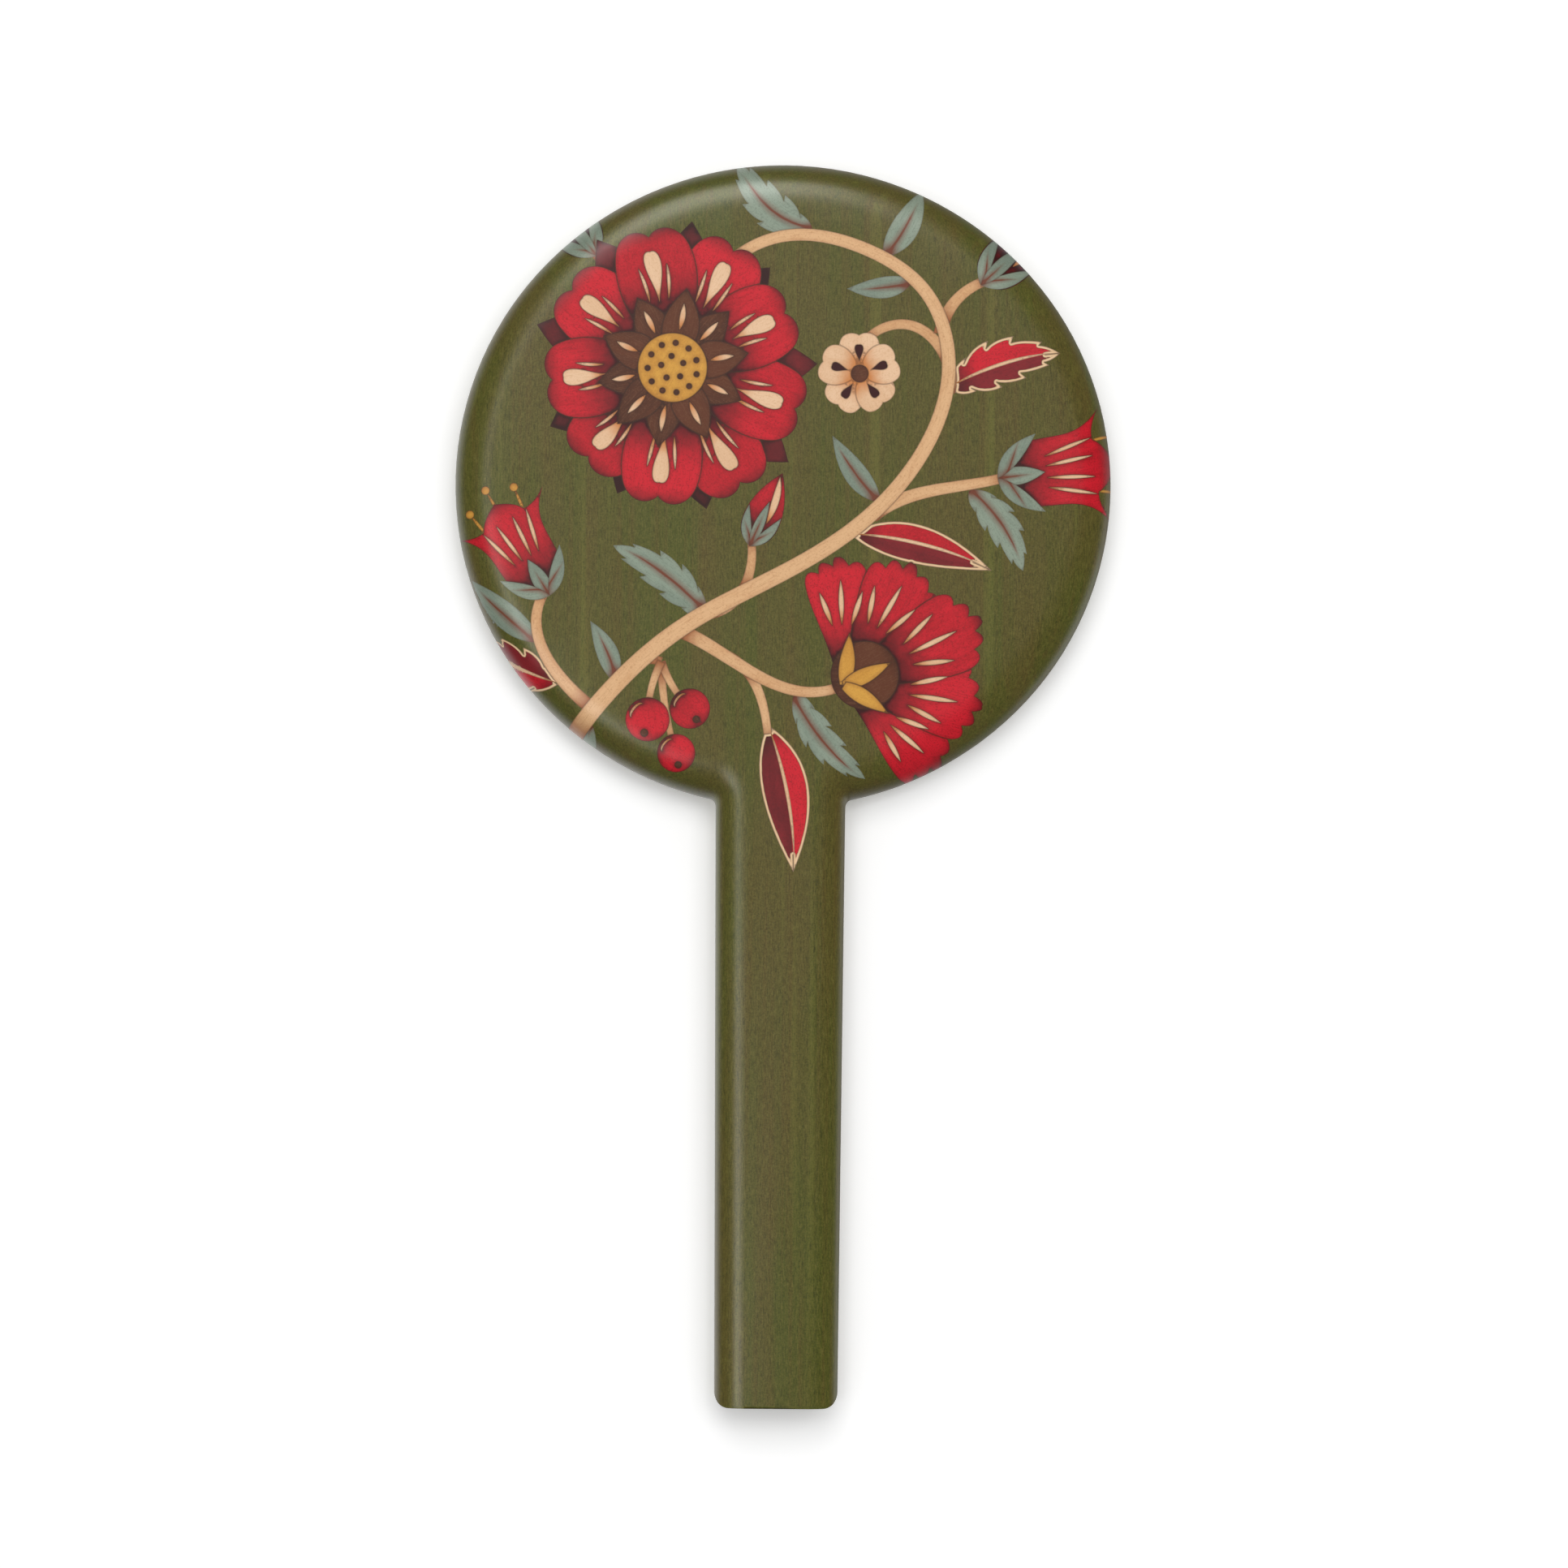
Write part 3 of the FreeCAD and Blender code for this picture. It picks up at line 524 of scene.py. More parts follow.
def dressed(node, name, material, prepare):
    """A finished copy of a CAD node, which takes its place."""
    solids = closed_solids(node)
    for k, solid in enumerate(solids):
        prepare(solid, k)
    piece = joined(name, solids)
    face_truly(piece)
    piece.data.materials.clear()
    piece.data.materials.append(material)
    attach(piece, "root")
    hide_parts(node)
    return piece


def prepare_sheet(solid, k):
    """Slice one green solid finely where it is round, and settle it on the surface."""
    depths = [corner.co.y / MM for corner in solid.verts]
    slice_up(solid, 1, [y for y in ROUNDING_CUTS if min(depths) < y < max(depths)])
    slice_up(solid, 2, [NECK_Z - NECK_REACH, NECK_Z + NECK_REACH])
    slice_up(solid, 0, [side * (NECK_X + NECK_REACH) for side in (-1, 1)])
    for axis in (0, 2):
        slice_up(solid, axis, stations_across_neck(solid, axis), near_neck)
    faces = outer_faces(solid)
    settle(solid, faces)
    mark_outer(solid, faces)


def stations_across_neck(solid, axis):
    """Close cutting places about the neck's corners, left and right or up and down."""
    spots = (-NECK_X, NECK_X) if axis == 0 else (NECK_Z,)
    reach = [corner.co[axis] / MM for corner in solid.verts]
    steps = round(NECK_REACH / NECK_CELL)
    lines = [spot + NECK_CELL * k for spot in spots for k in range(-steps, steps + 1)]
    return [line for line in lines if min(reach) < line < max(reach)]


for node, name, finish in (("back_veneer", "ground_sheet", green_veneer),
                           ("front_veneer", "front_sheet", green_veneer),
                           ("head_edge_band", "head_edge_strip", green_strip),
                           ("handle_edge_band_left", "handle_strip_left", green_veneer),
                           ("handle_edge_band_right", "handle_strip_right", green_veneer),
                           ("handle_end_cap", "handle_end_sheet", green_end)):
    piece = dressed(node, name, finish, prepare_sheet)
    print(name, len(piece.data.polygons), "faces")

# %% [markdown]
# ## The picture's pieces learn their own shape
#
# A marquetry cutter shades each piece by dipping its edge in hot sand before it is laid, and
# chooses which way its grain runs. So every cutting is given its own coordinates. Petals run
# outwards from the heart of their flower, leaves run along their own length away from the
# stem, and stems run along the line they were drawn on. The hearts and stem lines are the
# drawing's own few points.

# %% The drawing's points, in millimetres from the head's centre
BLOOM, BLOSSOM, FAN = [(-25, 26)], [(17, 25)], [(14, -45)]
BELLS_AND_BUDS = [(50, 2), (-53, -24), (-43, 52), (45, 46), (-7, -13)]
BERRIES = [(-30, -53), (-20.5, -50.5), (-23.5, -60.5)]
BERRY_STALK = (-27, -40)
STEM_LINES = [
    [(-50, -62), (-38, -46), (-22, -32), (-2, -21), (17, -9), (31, 7), (37, 26), (32, 43), (18, 53),
     (2, 56), (-12, 50)],
    [(-23, -33), (-12, -39), (2, -46), (14, -45)],
    [(20, -7), (30, -2), (40, 0), (50, 2)],
    [(35, 34), (38, 41), (45, 46)],
    [(-42, -51), (-51, -42), (-55, -33), (-53, -24)],
    [(37, 21), (35, 31), (28, 36), (20, 34), (17, 25)],
    [(-16, -29), (-9, -24), (-7, -18), (-7, -13)],
    [(-34, -42), (-30, -39.5), BERRY_STALK],
    [(-14, -38), (-7, -43), (-4, -50), (-3, -56)],
    [(-33, 40), (-38, 46), (-43, 52)],
] + [[BERRY_STALK, spot] for spot in BERRIES]


def drawn_line(points):
    """Evenly spaced points along the smooth line through a stem's points."""
    curve = bpy.data.curves.new("line", "CURVE")
    spline = curve.splines.new("BEZIER")
    spline.bezier_points.add(len(points) - 1)
    for knot, (x, z) in zip(spline.bezier_points, points):
        knot.co = (x, 0, z)
        knot.handle_left_type = knot.handle_right_type = "AUTO"
    curve.resolution_u = 24
    holder = bpy.data.objects.new("line", curve)
    mesh = bpy.data.meshes.new_from_object(holder)
    line = np.array([(corner.co.x, corner.co.z) for corner in mesh.vertices])
    bpy.data.objects.remove(holder)
    bpy.data.curves.remove(curve)
    bpy.data.meshes.remove(mesh)
    return line


stem_paths = [drawn_line(points) for points in STEM_LINES]
print(len(stem_paths), "stem lines,", sum(len(path) for path in stem_paths), "points")


# %% Where a cutting's foot is, and which way it runs
def flat_places(corners):
    """Points of the picture as x and z, in millimetres from the head's centre."""
    places = np.array([corner.co for corner in corners]) / MM
    return np.stack([places[:, 0], places[:, 2] - HEAD_Z], 1)


def run_from(hearts):
    """Petals: away from the heart of their flower, the nearest where a node has several."""
    def run_outwards(places):
        heart = min(hearts, key=lambda spot: np.hypot(*(places.mean(0) - spot)))
        return places - heart, places.mean(0) - heart
    return run_outwards


def run_lengthwise(places):
    """Leaves: along their own longest way, from the end that is nearest a stem."""
    offset = places - places.mean(0)
    way = np.linalg.eigh(offset.T @ offset)[1][:, 1]
    ends = places[[np.argmin(offset @ way), np.argmax(offset @ way)]]
    stems = np.concatenate(stem_paths)
    gaps = [np.hypot(*(stems - end).T).min() for end in ends]
    return (offset, way) if gaps[0] < gaps[1] else (offset, -way)


LEAF_BAND = 1.5


def along_and_across(places, runner):
    """Millimetres from the foot, and millimetres to the side; leaves count from their midrib."""
    offset, way = runner(places)
    way = way / np.hypot(*way)
    along = offset @ way
    across = offset @ np.array([-way[1], way[0]])
    along -= along.min()
    if runner is run_lengthwise:
        bands = np.floor(along / LEAF_BAND)
        sides = {band: across[bands == band] for band in set(bands)}
        middles = {band: (side.max() + side.min()) / 2 for band, side in sides.items()}
        order = sorted(middles)
        midline = np.polyfit(order, [middles[band] for band in order], min(3, len(order) - 1))
        across -= np.polyval(midline, along / LEAF_BAND - 0.5)
    return along, across


def along_stem(places):
    """Stems: distance along the nearest drawn line, and to the side of it."""
    best = min(stem_paths, key=lambda path: np.hypot(*(path[:, None] - places[None]).transpose(2, 0, 1))
               .min(0).mean())
    tree = kdtree.KDTree(len(best))
    for k, (x, z) in enumerate(best):
        tree.insert((x, z, 0), k)
    tree.balance()
    lengths = np.concatenate([[0], np.cumsum(np.hypot(*np.diff(best, axis=0).T))])
    nearest = np.array([tree.find((x, z, 0))[1] for x, z in places])
    ways = np.gradient(best, axis=0)[nearest]
    ways /= np.maximum(np.hypot(*ways.T), 1e-6)[:, None]
    gap = places - best[nearest]
    along = lengths[nearest] + (gap * ways).sum(1)
    across = gap[:, 1] * ways[:, 0] - gap[:, 0] * ways[:, 1]
    return along - along.min(), across


# %% How far each point is from the sawn edge
SPOT_PITCH, RIB_NEAR = 0.2, 0.15


def spots_along(edges):
    """Points in millimetres along some edges, close enough together to measure from."""
    spots = []
    for edge in edges:
        a, b = (corner.co / MM for corner in edge.verts)
        steps = max(1, math.ceil((b - a).length / SPOT_PITCH))
        spots += [a.lerp(b, k / steps) for k in range(steps + 1)]
    return spots


def tree_of(spots):
    """A search tree that finds the nearest of some points."""
    tree = kdtree.KDTree(len(spots))
    for k, spot in enumerate(spots):
        tree.insert(spot, k)
    tree.balance()
    return tree


leaf_rib_lines = tree_of([spot for rib in closed_solids("leaf_ribs") for spot in spots_along(rib.edges)])


def edge_gaps(faces, corners, beside_rib):
    """Distance from each outer point to its outline; a leaf half skips its side by the rib."""
    shown = set(faces)
    rim = {edge for face in faces for edge in face.edges if not shown.issuperset(edge.link_faces)}
    spots = spots_along(rim)
    if beside_rib:
        spots = [spot for spot in spots if leaf_rib_lines.find(spot)[2] > RIB_NEAR]
    tree = tree_of(spots)
    return [tree.find(corner.co / MM)[2] for corner in corners]


# %% Prepare one cutting
CELL, SMALL_CELL, FINE_CELL = 0.8, 0.5, 0.4
MOST_SHIFT = 90
chance = random.Random(11)


def prepare_cutting(runner, cell=CELL, beside_rib=False):
    """How a cutting is sliced and given its own coordinates; runner says which way it runs."""
    def prepare(solid, k):
        for axis in (0, 2):
            slice_up(solid, axis, stations_across(solid, axis, cell))
        faces = outer_faces(solid)
        settle(solid, faces)
        mark_outer(solid, faces)
        layers = solid.verts.layers
        edge, from_foot, to_tip = (layers.float[name] for name in ("edge", "from_foot", "to_tip"))
        grain = layers.float_vector["grain"]
        tint, shift = chance.random(), chance.uniform(0, MOST_SHIFT)
        if not faces:
            return
        corners = list({corner for face in faces for corner in face.verts})
        corners.sort(key=lambda corner: corner.index)
        places = flat_places(corners)
        along, across = along_stem(places) if runner is None else along_and_across(places, runner)
        for corner, gap, u, v in zip(corners, edge_gaps(faces, corners, beside_rib), along, across):
            corner[edge] = gap
            corner[from_foot] = u
            corner[to_tip] = along.max() - u
            corner[grain] = (u + shift, v, tint)
    return prepare


print("cells of", CELL, "mm")

# %% [markdown]
# ## The picture's veneers
#
# Seven dyed or natural woods make the picture. They share one recipe: a body colour that
# drifts a little, fine grain along the piece, a scorched shade that deepens towards chosen
# ends and edges, and the hairline of dark glue at the joint. What differs is how much of each
# a wood shows. Red petals darken at the foot and less at the tip; cream ones are toasted
# orange at the foot; blue leaves carry a soft brown midrib. The red leaves have a thin pale
# border, too narrow for a solid of its own, so it is drawn by the distance from the edge.

# %% One recipe for every cutting
GLUE = paint(58, 34, 22)
BORDER_PALE, BORDER_DEEP = paint(233, 197, 154), paint(210, 163, 116)
GLUE_WIDTH, RIM_WIDTH, BORDER = 0.26, 1.1, 0.62


def cutting_recipe(light, deep, pore, scorch, tip=(1, 0), foot=(1, 0), rim=0.0, rib=0.0, grain_depth=0.45,
                   glue=0.75, border=0.0, grit=GRIT_DEPTH):
    """tip and foot give how many millimetres the scorch reaches, and how strong it gets there."""
    def recipe():
        edge, grain = attribute("edge"), attribute("grain", "Vector")
        parts = Tone.node("ShaderNodeSeparateXYZ", None, {"Vector": grain}).socket.node.outputs
        across, tint = Tone(parts["Y"]), Tone(parts["Z"])
        drift = noise(stretched(grain, 0.10, 0.35, 9.0), 2)
        lines = noise(stretched(grain, 0.3, 3.4, 5.0), 4, 0.68)
        blot = noise(stretched(in_mm(), 0.7, 0.7, 0.7), 2) - 0.5
        colour = mixed(step_up(drift + 0.5 * (tint - 0.5), 0.3, 0.75), light, deep)
        colour = mixed(grain_depth * step_up(lines, 0.48, 0.76), colour, pore)
        colour = gritty(colour, pore, light, grit)
        shade = rim * step_up(edge + 0.5 * blot, RIM_WIDTH, 0.1)
        for name, (reach, strength) in (("to_tip", tip), ("from_foot", foot)):
            if strength:
                ragged = attribute(name) + 0.3 * reach * blot + 0.5 * (lines - 0.5)
                shade = strength * step_up(ragged, reach, 0.0) + shade
        if rib:
            width = rib * (0.25 + 0.75 * step_up(attribute("to_tip"), 1.0, 14.0))
            ragged = across.maths("ABSOLUTE") + 0.5 * (lines - 0.5)
            middle = 0.6 * step_up(ragged / width, 1.7, 0.0) + 0.45 * step_up(ragged / width, 0.5, 0.0)
            shade = middle * step_up(attribute("to_tip"), 1.5, 7.0) + shade
        colour = mixed(shade.maths("MINIMUM", 1.0), colour, scorch)
        if border:
            inside = edge + 0.25 * (lines - 0.5)
            pale = mixed(0.4 * step_up(lines, 0.4, 0.7), BORDER_PALE, BORDER_DEEP)
            colour = mixed(step_up(inside, border + 0.07, border - 0.07), colour, pale)
            colour = mixed(0.5 * step_up((inside - border).maths("ABSOLUTE"), 0.16, 0.0), colour, GLUE)
        colour = mixed(glue * step_up(edge, GLUE_WIDTH, 0.04), colour, GLUE)
        return colour, lines
    return recipe


RED_TONES = (paint(208, 19, 38), paint(185, 14, 30), paint(142, 10, 21), paint(58, 16, 16))
RED_GRAIN = {"grain_depth": 0.7, "grit": 0.75}
RED = varnished("red_veneer", cutting_recipe(*RED_TONES, tip=(4, 0.55), foot=(11, 0.85), rim=0.22,
                                             **RED_GRAIN))
BERRY_RED = varnished("red_veneer_small", cutting_recipe(*RED_TONES, tip=(2.5, 0.4), foot=(4, 0.6),
                                                         rim=0.3, **RED_GRAIN))
LEAF_RED = varnished("red_veneer_bordered", cutting_recipe(*RED_TONES, tip=(3, 0.4), foot=(6, 0.7),
                                                           border=BORDER, **RED_GRAIN))
MAROON_TONES = (paint(132, 28, 34), paint(108, 24, 28), paint(82, 20, 22), paint(50, 20, 18))
MAROON = varnished("maroon_veneer", cutting_recipe(*MAROON_TONES, tip=(5, 0.6), foot=(9, 0.7), rim=0.25))
LEAF_MAROON = varnished("maroon_veneer_bordered", cutting_recipe(*MAROON_TONES, tip=(3, 0.4), foot=(7, 0.7),
                                                                 border=BORDER))
CREAM = varnished("cream_veneer", cutting_recipe(
    paint(236, 197, 159), paint(227, 185, 145), paint(209, 160, 116), paint(204, 128, 66),
    foot=(4.5, 0.95), rim=0.08, grain_depth=0.5, glue=0.5))
BROWN_WOOD = varnished("brown_veneer", cutting_recipe(
    paint(96, 50, 26), paint(76, 40, 22), paint(116, 74, 48), paint(44, 25, 18),
    tip=(3, 0.3), rim=0.12, grain_depth=0.75))
OCHRE = varnished("ochre_veneer", cutting_recipe(
    paint(216, 160, 64), paint(205, 146, 54), paint(184, 124, 44), paint(150, 88, 32),
    tip=(2, 0.3), rim=0.35, grain_depth=0.45))
BLUE_WOOD = varnished("blue_grey_veneer", cutting_recipe(
    paint(141, 154, 136), paint(125, 139, 123), paint(101, 113, 98), paint(114, 60, 40),
    foot=(3, 0.5), rib=1.05, rim=0.06, grain_depth=0.65, glue=0.35))
STEM = varnished("stem_veneer", cutting_recipe(
    paint(225, 180, 132), paint(213, 163, 114), paint(185, 127, 80), paint(158, 94, 52),
    foot=(5, 0.85), tip=(3, 0.4), rim=0.16, grain_depth=0.6, glue=0.45))
print("ten finishes, each", len(RED.node_tree.nodes), "nodes or so")

# %% [markdown]
# ## Laying the picture
#
# Every cutting keeps the outline that the solids give it, so the pieces fit each other and
# the ground without gaps. Tiny ones, such as seeds, get finer cells than broad petals.

# %% Lay every cutting
CUTTINGS = [
    (RED, run_from(BLOOM), CELL, ["bloom_front_petals"]),
    (RED, run_from(FAN), CELL, ["fan_petals"]),
    (RED, run_from(BELLS_AND_BUDS), CELL, ["bell_cups", "bud_petals"]),
    (RED, run_from(BLOSSOM), FINE_CELL, ["small_blossom_drops"]),
    (BERRY_RED, run_lengthwise, CELL, ["berries"]),
    (LEAF_RED, run_lengthwise, FINE_CELL, ["leaf_light_halves"]),
    (MAROON, run_from(BLOOM), CELL, ["bloom_back_petals"]),
    (LEAF_MAROON, run_lengthwise, FINE_CELL, ["leaf_dark_halves"]),
    (CREAM, run_from(BLOOM), FINE_CELL, ["bloom_inner_veins", "bloom_drops", "bloom_veins"]),
    (CREAM, run_from(FAN), FINE_CELL, ["fan_veins"]),
    (CREAM, run_from(BELLS_AND_BUDS), FINE_CELL, ["bell_streaks", "bud_folds"]),
    (CREAM, run_from(BLOSSOM), CELL, ["small_blossom_petals"]),
    (CREAM, run_lengthwise, FINE_CELL, ["berry_glints", "leaf_ribs"]),
    (BROWN_WOOD, run_from(BLOOM), CELL, ["bloom_inner_petals"]),
    (BROWN_WOOD, run_from(FAN), CELL, ["fan_cup"]),
    (BROWN_WOOD, run_lengthwise, FINE_CELL, ["bloom_seeds", "small_blossom_eye", "berry_eyes"]),
    (OCHRE, run_lengthwise, CELL, ["bloom_centre"]),
    (OCHRE, run_from(FAN), SMALL_CELL, ["fan_sepals"]),
    (OCHRE, run_from(BELLS_AND_BUDS), SMALL_CELL, ["bell_stamens"]),
    (BLUE_WOOD, run_from(BELLS_AND_BUDS), SMALL_CELL, ["bell_sepals", "bud_sepals"]),
    (BLUE_WOOD, run_lengthwise, CELL, ["blue_leaves"]),
    (STEM, None, SMALL_CELL, ["inlay_vine", "inlay_branches"]),
]
for material, runner, cell, names in CUTTINGS:
    for node in names:
        halved = node.startswith("leaf_") and node.endswith("_halves")
        piece = dressed(node, "laid_" + node, material, prepare_cutting(runner, cell, halved))
        print(piece.name, len(piece.data.polygons), "faces")

# %% [markdown]
# ## The parts under the veneer, and the glass
#
# The boards show only as a thin line in the glass opening, the silvering and its paint only
# from inside, but each is finished all the same. The glass is plate glass silvered behind
# with a wide ground bevel, so from the front it is a mirror whose rim tilts the room a little.
# A metallic surface with a trace of green gives that; modelling clear glass on a silver sheet
# would look the same and reflect twice.

# %% Boards, silver, paint and pads
def plain(name, colour, roughness, metallic=0.0, speck=0.0):
    """A simple finish whose colour drifts a little by the given share."""
    def recipe():
        drift = noise(stretched(in_mm(), 0.4, 0.4, 0.06), 3)
        darker = tuple(level * (1 - speck) for level in colour[:3]) + (1.0,)
        return mixed(step_up(drift, 0.35, 0.7), colour, darker), drift
    material = varnished(name, recipe, roughness, uneven=0.0 if metallic else 0.05)
    material.node_tree.nodes["Principled BSDF"].inputs["Metallic"].default_value = metallic
    return material


board = plain("board_wood", paint(190, 150, 104), 0.6, speck=0.25)
silver = plain("silvering", paint(214, 216, 216), 0.12, 1.0, 0.04)
backing = plain("backing_paint", paint(84, 86, 88), 0.55, speck=0.1)
pad = plain("adhesive_pad", paint(224, 222, 214), 0.7, speck=0.05)
mirror = plain("mirror_glass", paint(240, 245, 243), 0.015, 1.0, 0.005)
for material, names in ((board, ["core_board", "front_frame"]), (silver, ["mirror_silvering"]),
                        (backing, ["mirror_backing_paint"]), (pad, ["mirror_tape_pads"]),
                        (mirror, ["mirror_glass"])):
    for node in names:
        for k in range(len(nodes[node].data.materials)):
            nodes[node].data.materials[k] = material
print("five inner finishes")

# %% [markdown]
# ## The table it lies on
#
# The mirror lies face down on a white table, seen from straight above, so in the mirror's own
# frame the table stands upright behind it. Only the camera sees the table: the object is lit
# as if nothing were behind it, which keeps the glass side bright in views from behind. The
# sheet is clear from its back and fades out at its rim, where the white world takes over.

# %% The table sheet
TABLE_Y = HALF_THICKNESS + 0.2
TABLE_MIDDLE, TABLE_RADIUS = Vector((0, 0, OVERALL * MM / 2)), 0.36
TABLE_WHITE, TABLE_GLOW, GLOW_STRENGTH = (1.14, 1.14, 1.14, 1), 0.15, 1.2
FADE_FROM, FADE_TO = 0.22, 0.34


def table_material():
    """White paper with a little glow of its own, clear from behind and past its rim."""
    material = bpy.data.materials.new("white_table")
    material.use_nodes = True
    tree = Tone.tree = material.node_tree
    tree.nodes.clear()
    lit = Tone.node("ShaderNodeBsdfDiffuse", None, {"Color": TABLE_WHITE})
    glow = Tone.node("ShaderNodeEmission", None, {"Color": (1, 1, 1, 1), "Strength": GLOW_STRENGTH})
    clear = Tone.node("ShaderNodeBsdfTransparent")
    sheet = Tone.node("ShaderNodeMixShader", None, {0: TABLE_GLOW, 1: lit, 2: glow})
    place = Tone.node("ShaderNodeTexCoord", None, None, "Object")
    centred = Tone.node("ShaderNodeVectorMath", {"operation": "SUBTRACT"}, {0: place, 1: TABLE_MIDDLE})
    far = Tone.node("ShaderNodeVectorMath", {"operation": "LENGTH"}, {0: centred}, "Value")
    behind = Tone.node("ShaderNodeNewGeometry", None, None, "Backfacing")
    hidden = (step_up(far, FADE_FROM, FADE_TO) + behind).maths("MINIMUM", 1.0)
    mix = Tone.node("ShaderNodeMixShader", None, {0: hidden, 1: sheet, 2: clear})
    out = tree.nodes.new("ShaderNodeOutputMaterial")
    tree.links.new(mix.socket, out.inputs["Surface"])
    return material


table = bpy.data.objects.new("table", bpy.data.meshes.new("table"))
bpy.context.scene.collection.objects.link(table)
flat = bmesh.new()
bmesh.ops.create_circle(flat, cap_ends=True, segments=96, radius=TABLE_RADIUS)
bmesh.ops.rotate(flat, verts=flat.verts, matrix=Matrix.Rotation(math.pi / 2, 3, "X"))
bmesh.ops.translate(flat, verts=flat.verts, vec=TABLE_MIDDLE + Vector((0, TABLE_Y * MM, 0)))
flat.normal_update()
for face in flat.faces:
    if face.normal.y > 0:
        face.normal_flip()
flat.to_mesh(table.data)
flat.free()
table.data.materials.append(table_material())
for ray in ("diffuse", "glossy", "transmission", "shadow", "volume_scatter"):
    setattr(table, "visible_" + ray, False)
print("table sheet at y =", TABLE_Y, "mm")

# %% [markdown]
# ## Light
#
# The light is that of a white studio. A dim white world lights everything a little, and three
# large soft lamps, from the top, the right and the left, colour the back evenly; they leave no
# highlight, because they don't show in the varnish. The highlights come from boxes and cards
# that show only there: a bright box above the head, slightly to the left, a faint one inside
# it, and cards low and left, whose long thin reflections run down the rounded edges. Three
# more lamps light the mirror side and both edges in views from there.
#
# The world is white where the camera looks at it. What the varnish and the glass see is a
# darker room, or the varnish would veil the colours. That room glows towards the table, less
# so at the right, and over the mirror's shoulder it has a wall of pale panels, for the glass
# to reflect.

# %% The world
AMBIENT, DARK_ROOM = 0.42, 0.08
WALL_WAY, WALL_STARTS, WALL_FULL = Vector((0.68, 0.68, -0.26)).normalized(), 0.93, 0.975
world = bpy.data.worlds.new("studio")
bpy.context.scene.world = world
world.use_nodes = True
Tone.tree = world.node_tree
way = Tone.node("ShaderNodeTexCoord", None, None, "Generated")
parts = Tone.node("ShaderNodeSeparateXYZ", None, {"Vector": way}).socket.node.outputs
rightward, forward, upward = (Tone(parts[name]) for name in "XYZ")
rays = Tone.node("ShaderNodeLightPath").socket.node.outputs
camera_ray, glossy_ray, clear_ray = (Tone(rays[name]) for name in (
    "Is Camera Ray", "Is Glossy Ray", "Is Transmission Ray"))
table_glow = (0.95 - 0.35 * step_up(upward, -0.1, 0.75)) * step_up(forward, 0.25, 0.6)
table_glow = table_glow * (1 - 0.75 * step_up(rightward, -0.2, 0.35))
toward_wall = Tone.node("ShaderNodeVectorMath", {"operation": "DOT_PRODUCT"},
                        {0: way, 1: WALL_WAY}, "Value")
panels = 0.74 + 0.2 * (34 * upward + 20 * rightward).maths("SINE")
wall = panels * step_up(toward_wall, WALL_STARTS, WALL_FULL)
room = DARK_ROOM + (1 - DARK_ROOM) * table_glow.maths("MAXIMUM", wall)
strength = AMBIENT + camera_ray * (1 - AMBIENT) + clear_ray * (1 - AMBIENT) + glossy_ray * (room - AMBIENT)
Tone.tree.links.new(strength.socket, Tone.tree.nodes["Background"].inputs["Strength"])
Tone.tree.nodes["Background"].inputs["Color"].default_value = (1, 1, 1, 1)
print("ambient level", AMBIENT)


# %% Soft boxes and cards
AIM_SHARE = 0.8


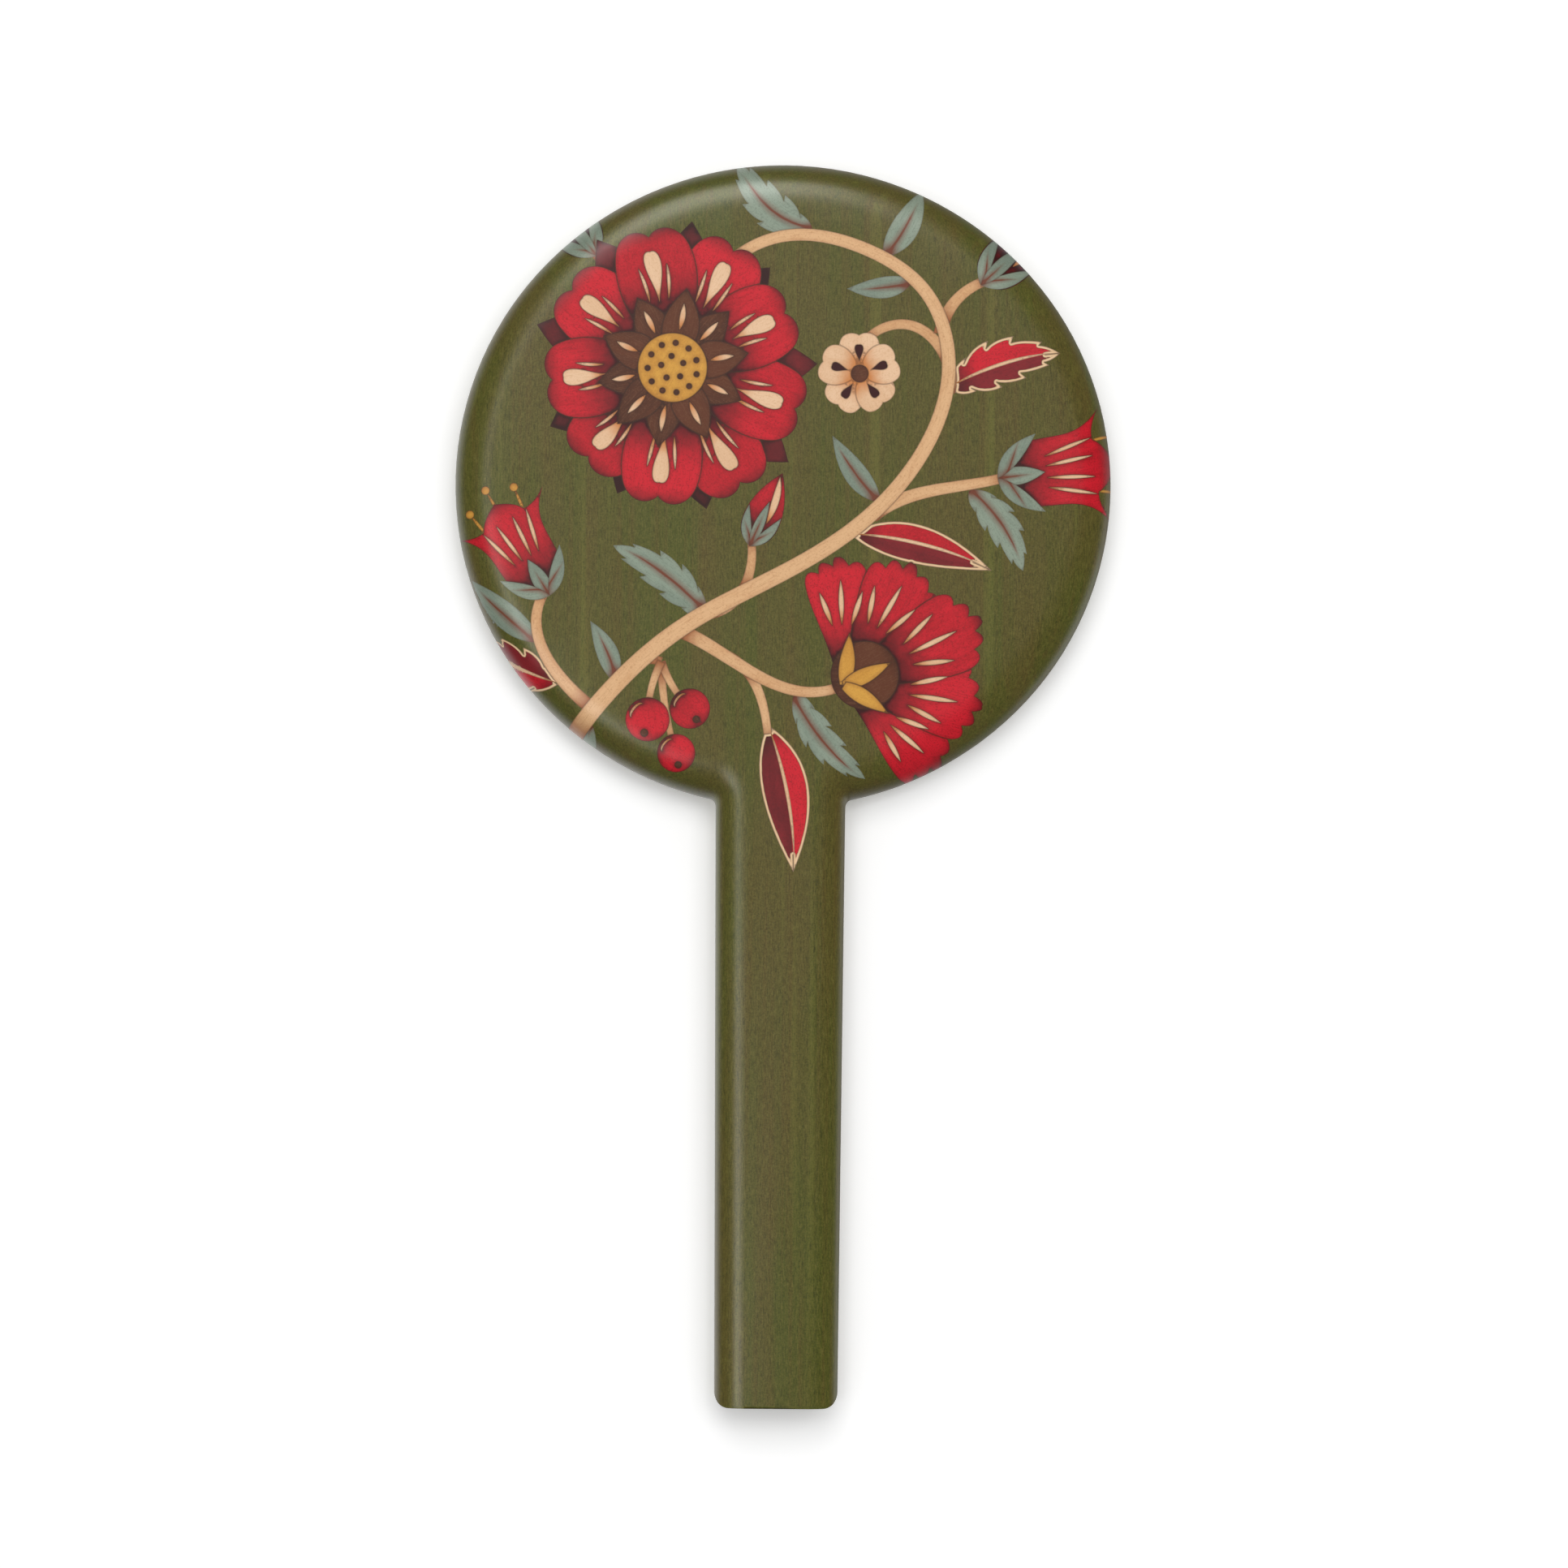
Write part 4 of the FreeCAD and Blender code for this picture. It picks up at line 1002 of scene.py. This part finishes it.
def soft_box(name, off_axis, turn, size, brightness, side=-1, diffuse=True, glossy=True, distance=1.0):
    """A lamp off the object's axis by one angle, turned round it by another from the right."""
    off_axis, turn = math.radians(off_axis), math.radians(turn)
    away = Vector((math.sin(off_axis) * math.cos(turn), side * math.cos(off_axis),
                   math.sin(off_axis) * math.sin(turn)))
    lamp = bpy.data.lights.new(name, "AREA")
    lamp.shape = "RECTANGLE"
    lamp.size, lamp.size_y = size
    lamp.energy = brightness * math.pi * size[0] * size[1]
    holder = bpy.data.objects.new(name, lamp)
    bpy.context.scene.collection.objects.link(holder)
    target = Vector((0, 0, HEAD_Z * MM * AIM_SHARE))
    holder.location = target + away * distance
    holder.rotation_euler = away.to_track_quat("Z", "Y").to_euler()
    holder.visible_camera = False
    holder.visible_diffuse, holder.visible_glossy = diffuse, glossy


soft_box("top_light", 24, 98, (1.5, 1.5), 3.8, glossy=False, distance=3.0)
soft_box("right_light", 20, 28, (1.2, 1.2), 3.9, glossy=False, distance=3.0)
soft_box("left_light", 18, 180, (1.2, 1.2), 2.0, glossy=False, distance=3.0)
soft_box("key_box", 50, 102, (0.6, 0.6), 6.5, diffuse=False)
soft_box("key_fill", 24, 102, (0.5, 0.4), 1.0, diffuse=False)
soft_box("low_card", 30, 215, (0.36, 0.36), 5.4, diffuse=False)
soft_box("left_card", 30, 172, (0.16, 0.7), 2.8, diffuse=False)
soft_box("rear_key", 34, 110, (1.5, 1.5), 7.0, side=1, glossy=False, distance=3.0)
soft_box("side_light_right", 68, 0, (1.2, 1.2), 4.6, side=1, glossy=False, distance=3.0)
soft_box("side_light_left", 68, 180, (1.2, 1.2), 4.6, side=1, glossy=False, distance=3.0)
print("lamps placed")

# %% [markdown]
# ## The camera
#
# A long lens far away keeps the outline nearly as a drawing would show it. The object lies a
# trace askew, so the camera is rolled by the same half degree.

# %% The camera
LENS, SENSOR, DISTANCE, ROLL = 150.0, 36.0, 1.476, -0.46
AIM_X, AIM_Z, NEARER = 0.76, 140.26, 2.0
camera_data = bpy.data.cameras.new("camera")
camera_data.lens, camera_data.sensor_width = LENS, SENSOR
camera = bpy.data.objects.new("camera", camera_data)
camera.location = (AIM_X * MM, -DISTANCE + NEARER * MM, AIM_Z * MM)
camera.rotation_euler = (math.radians(90), math.radians(ROLL), 0)
bpy.context.scene.collection.objects.link(camera)
bpy.context.scene.camera = camera
bpy.context.scene.view_settings.view_transform = "Standard"
print("frame is", round(DISTANCE * SENSOR / LENS / MM, 1), "mm wide at the object")
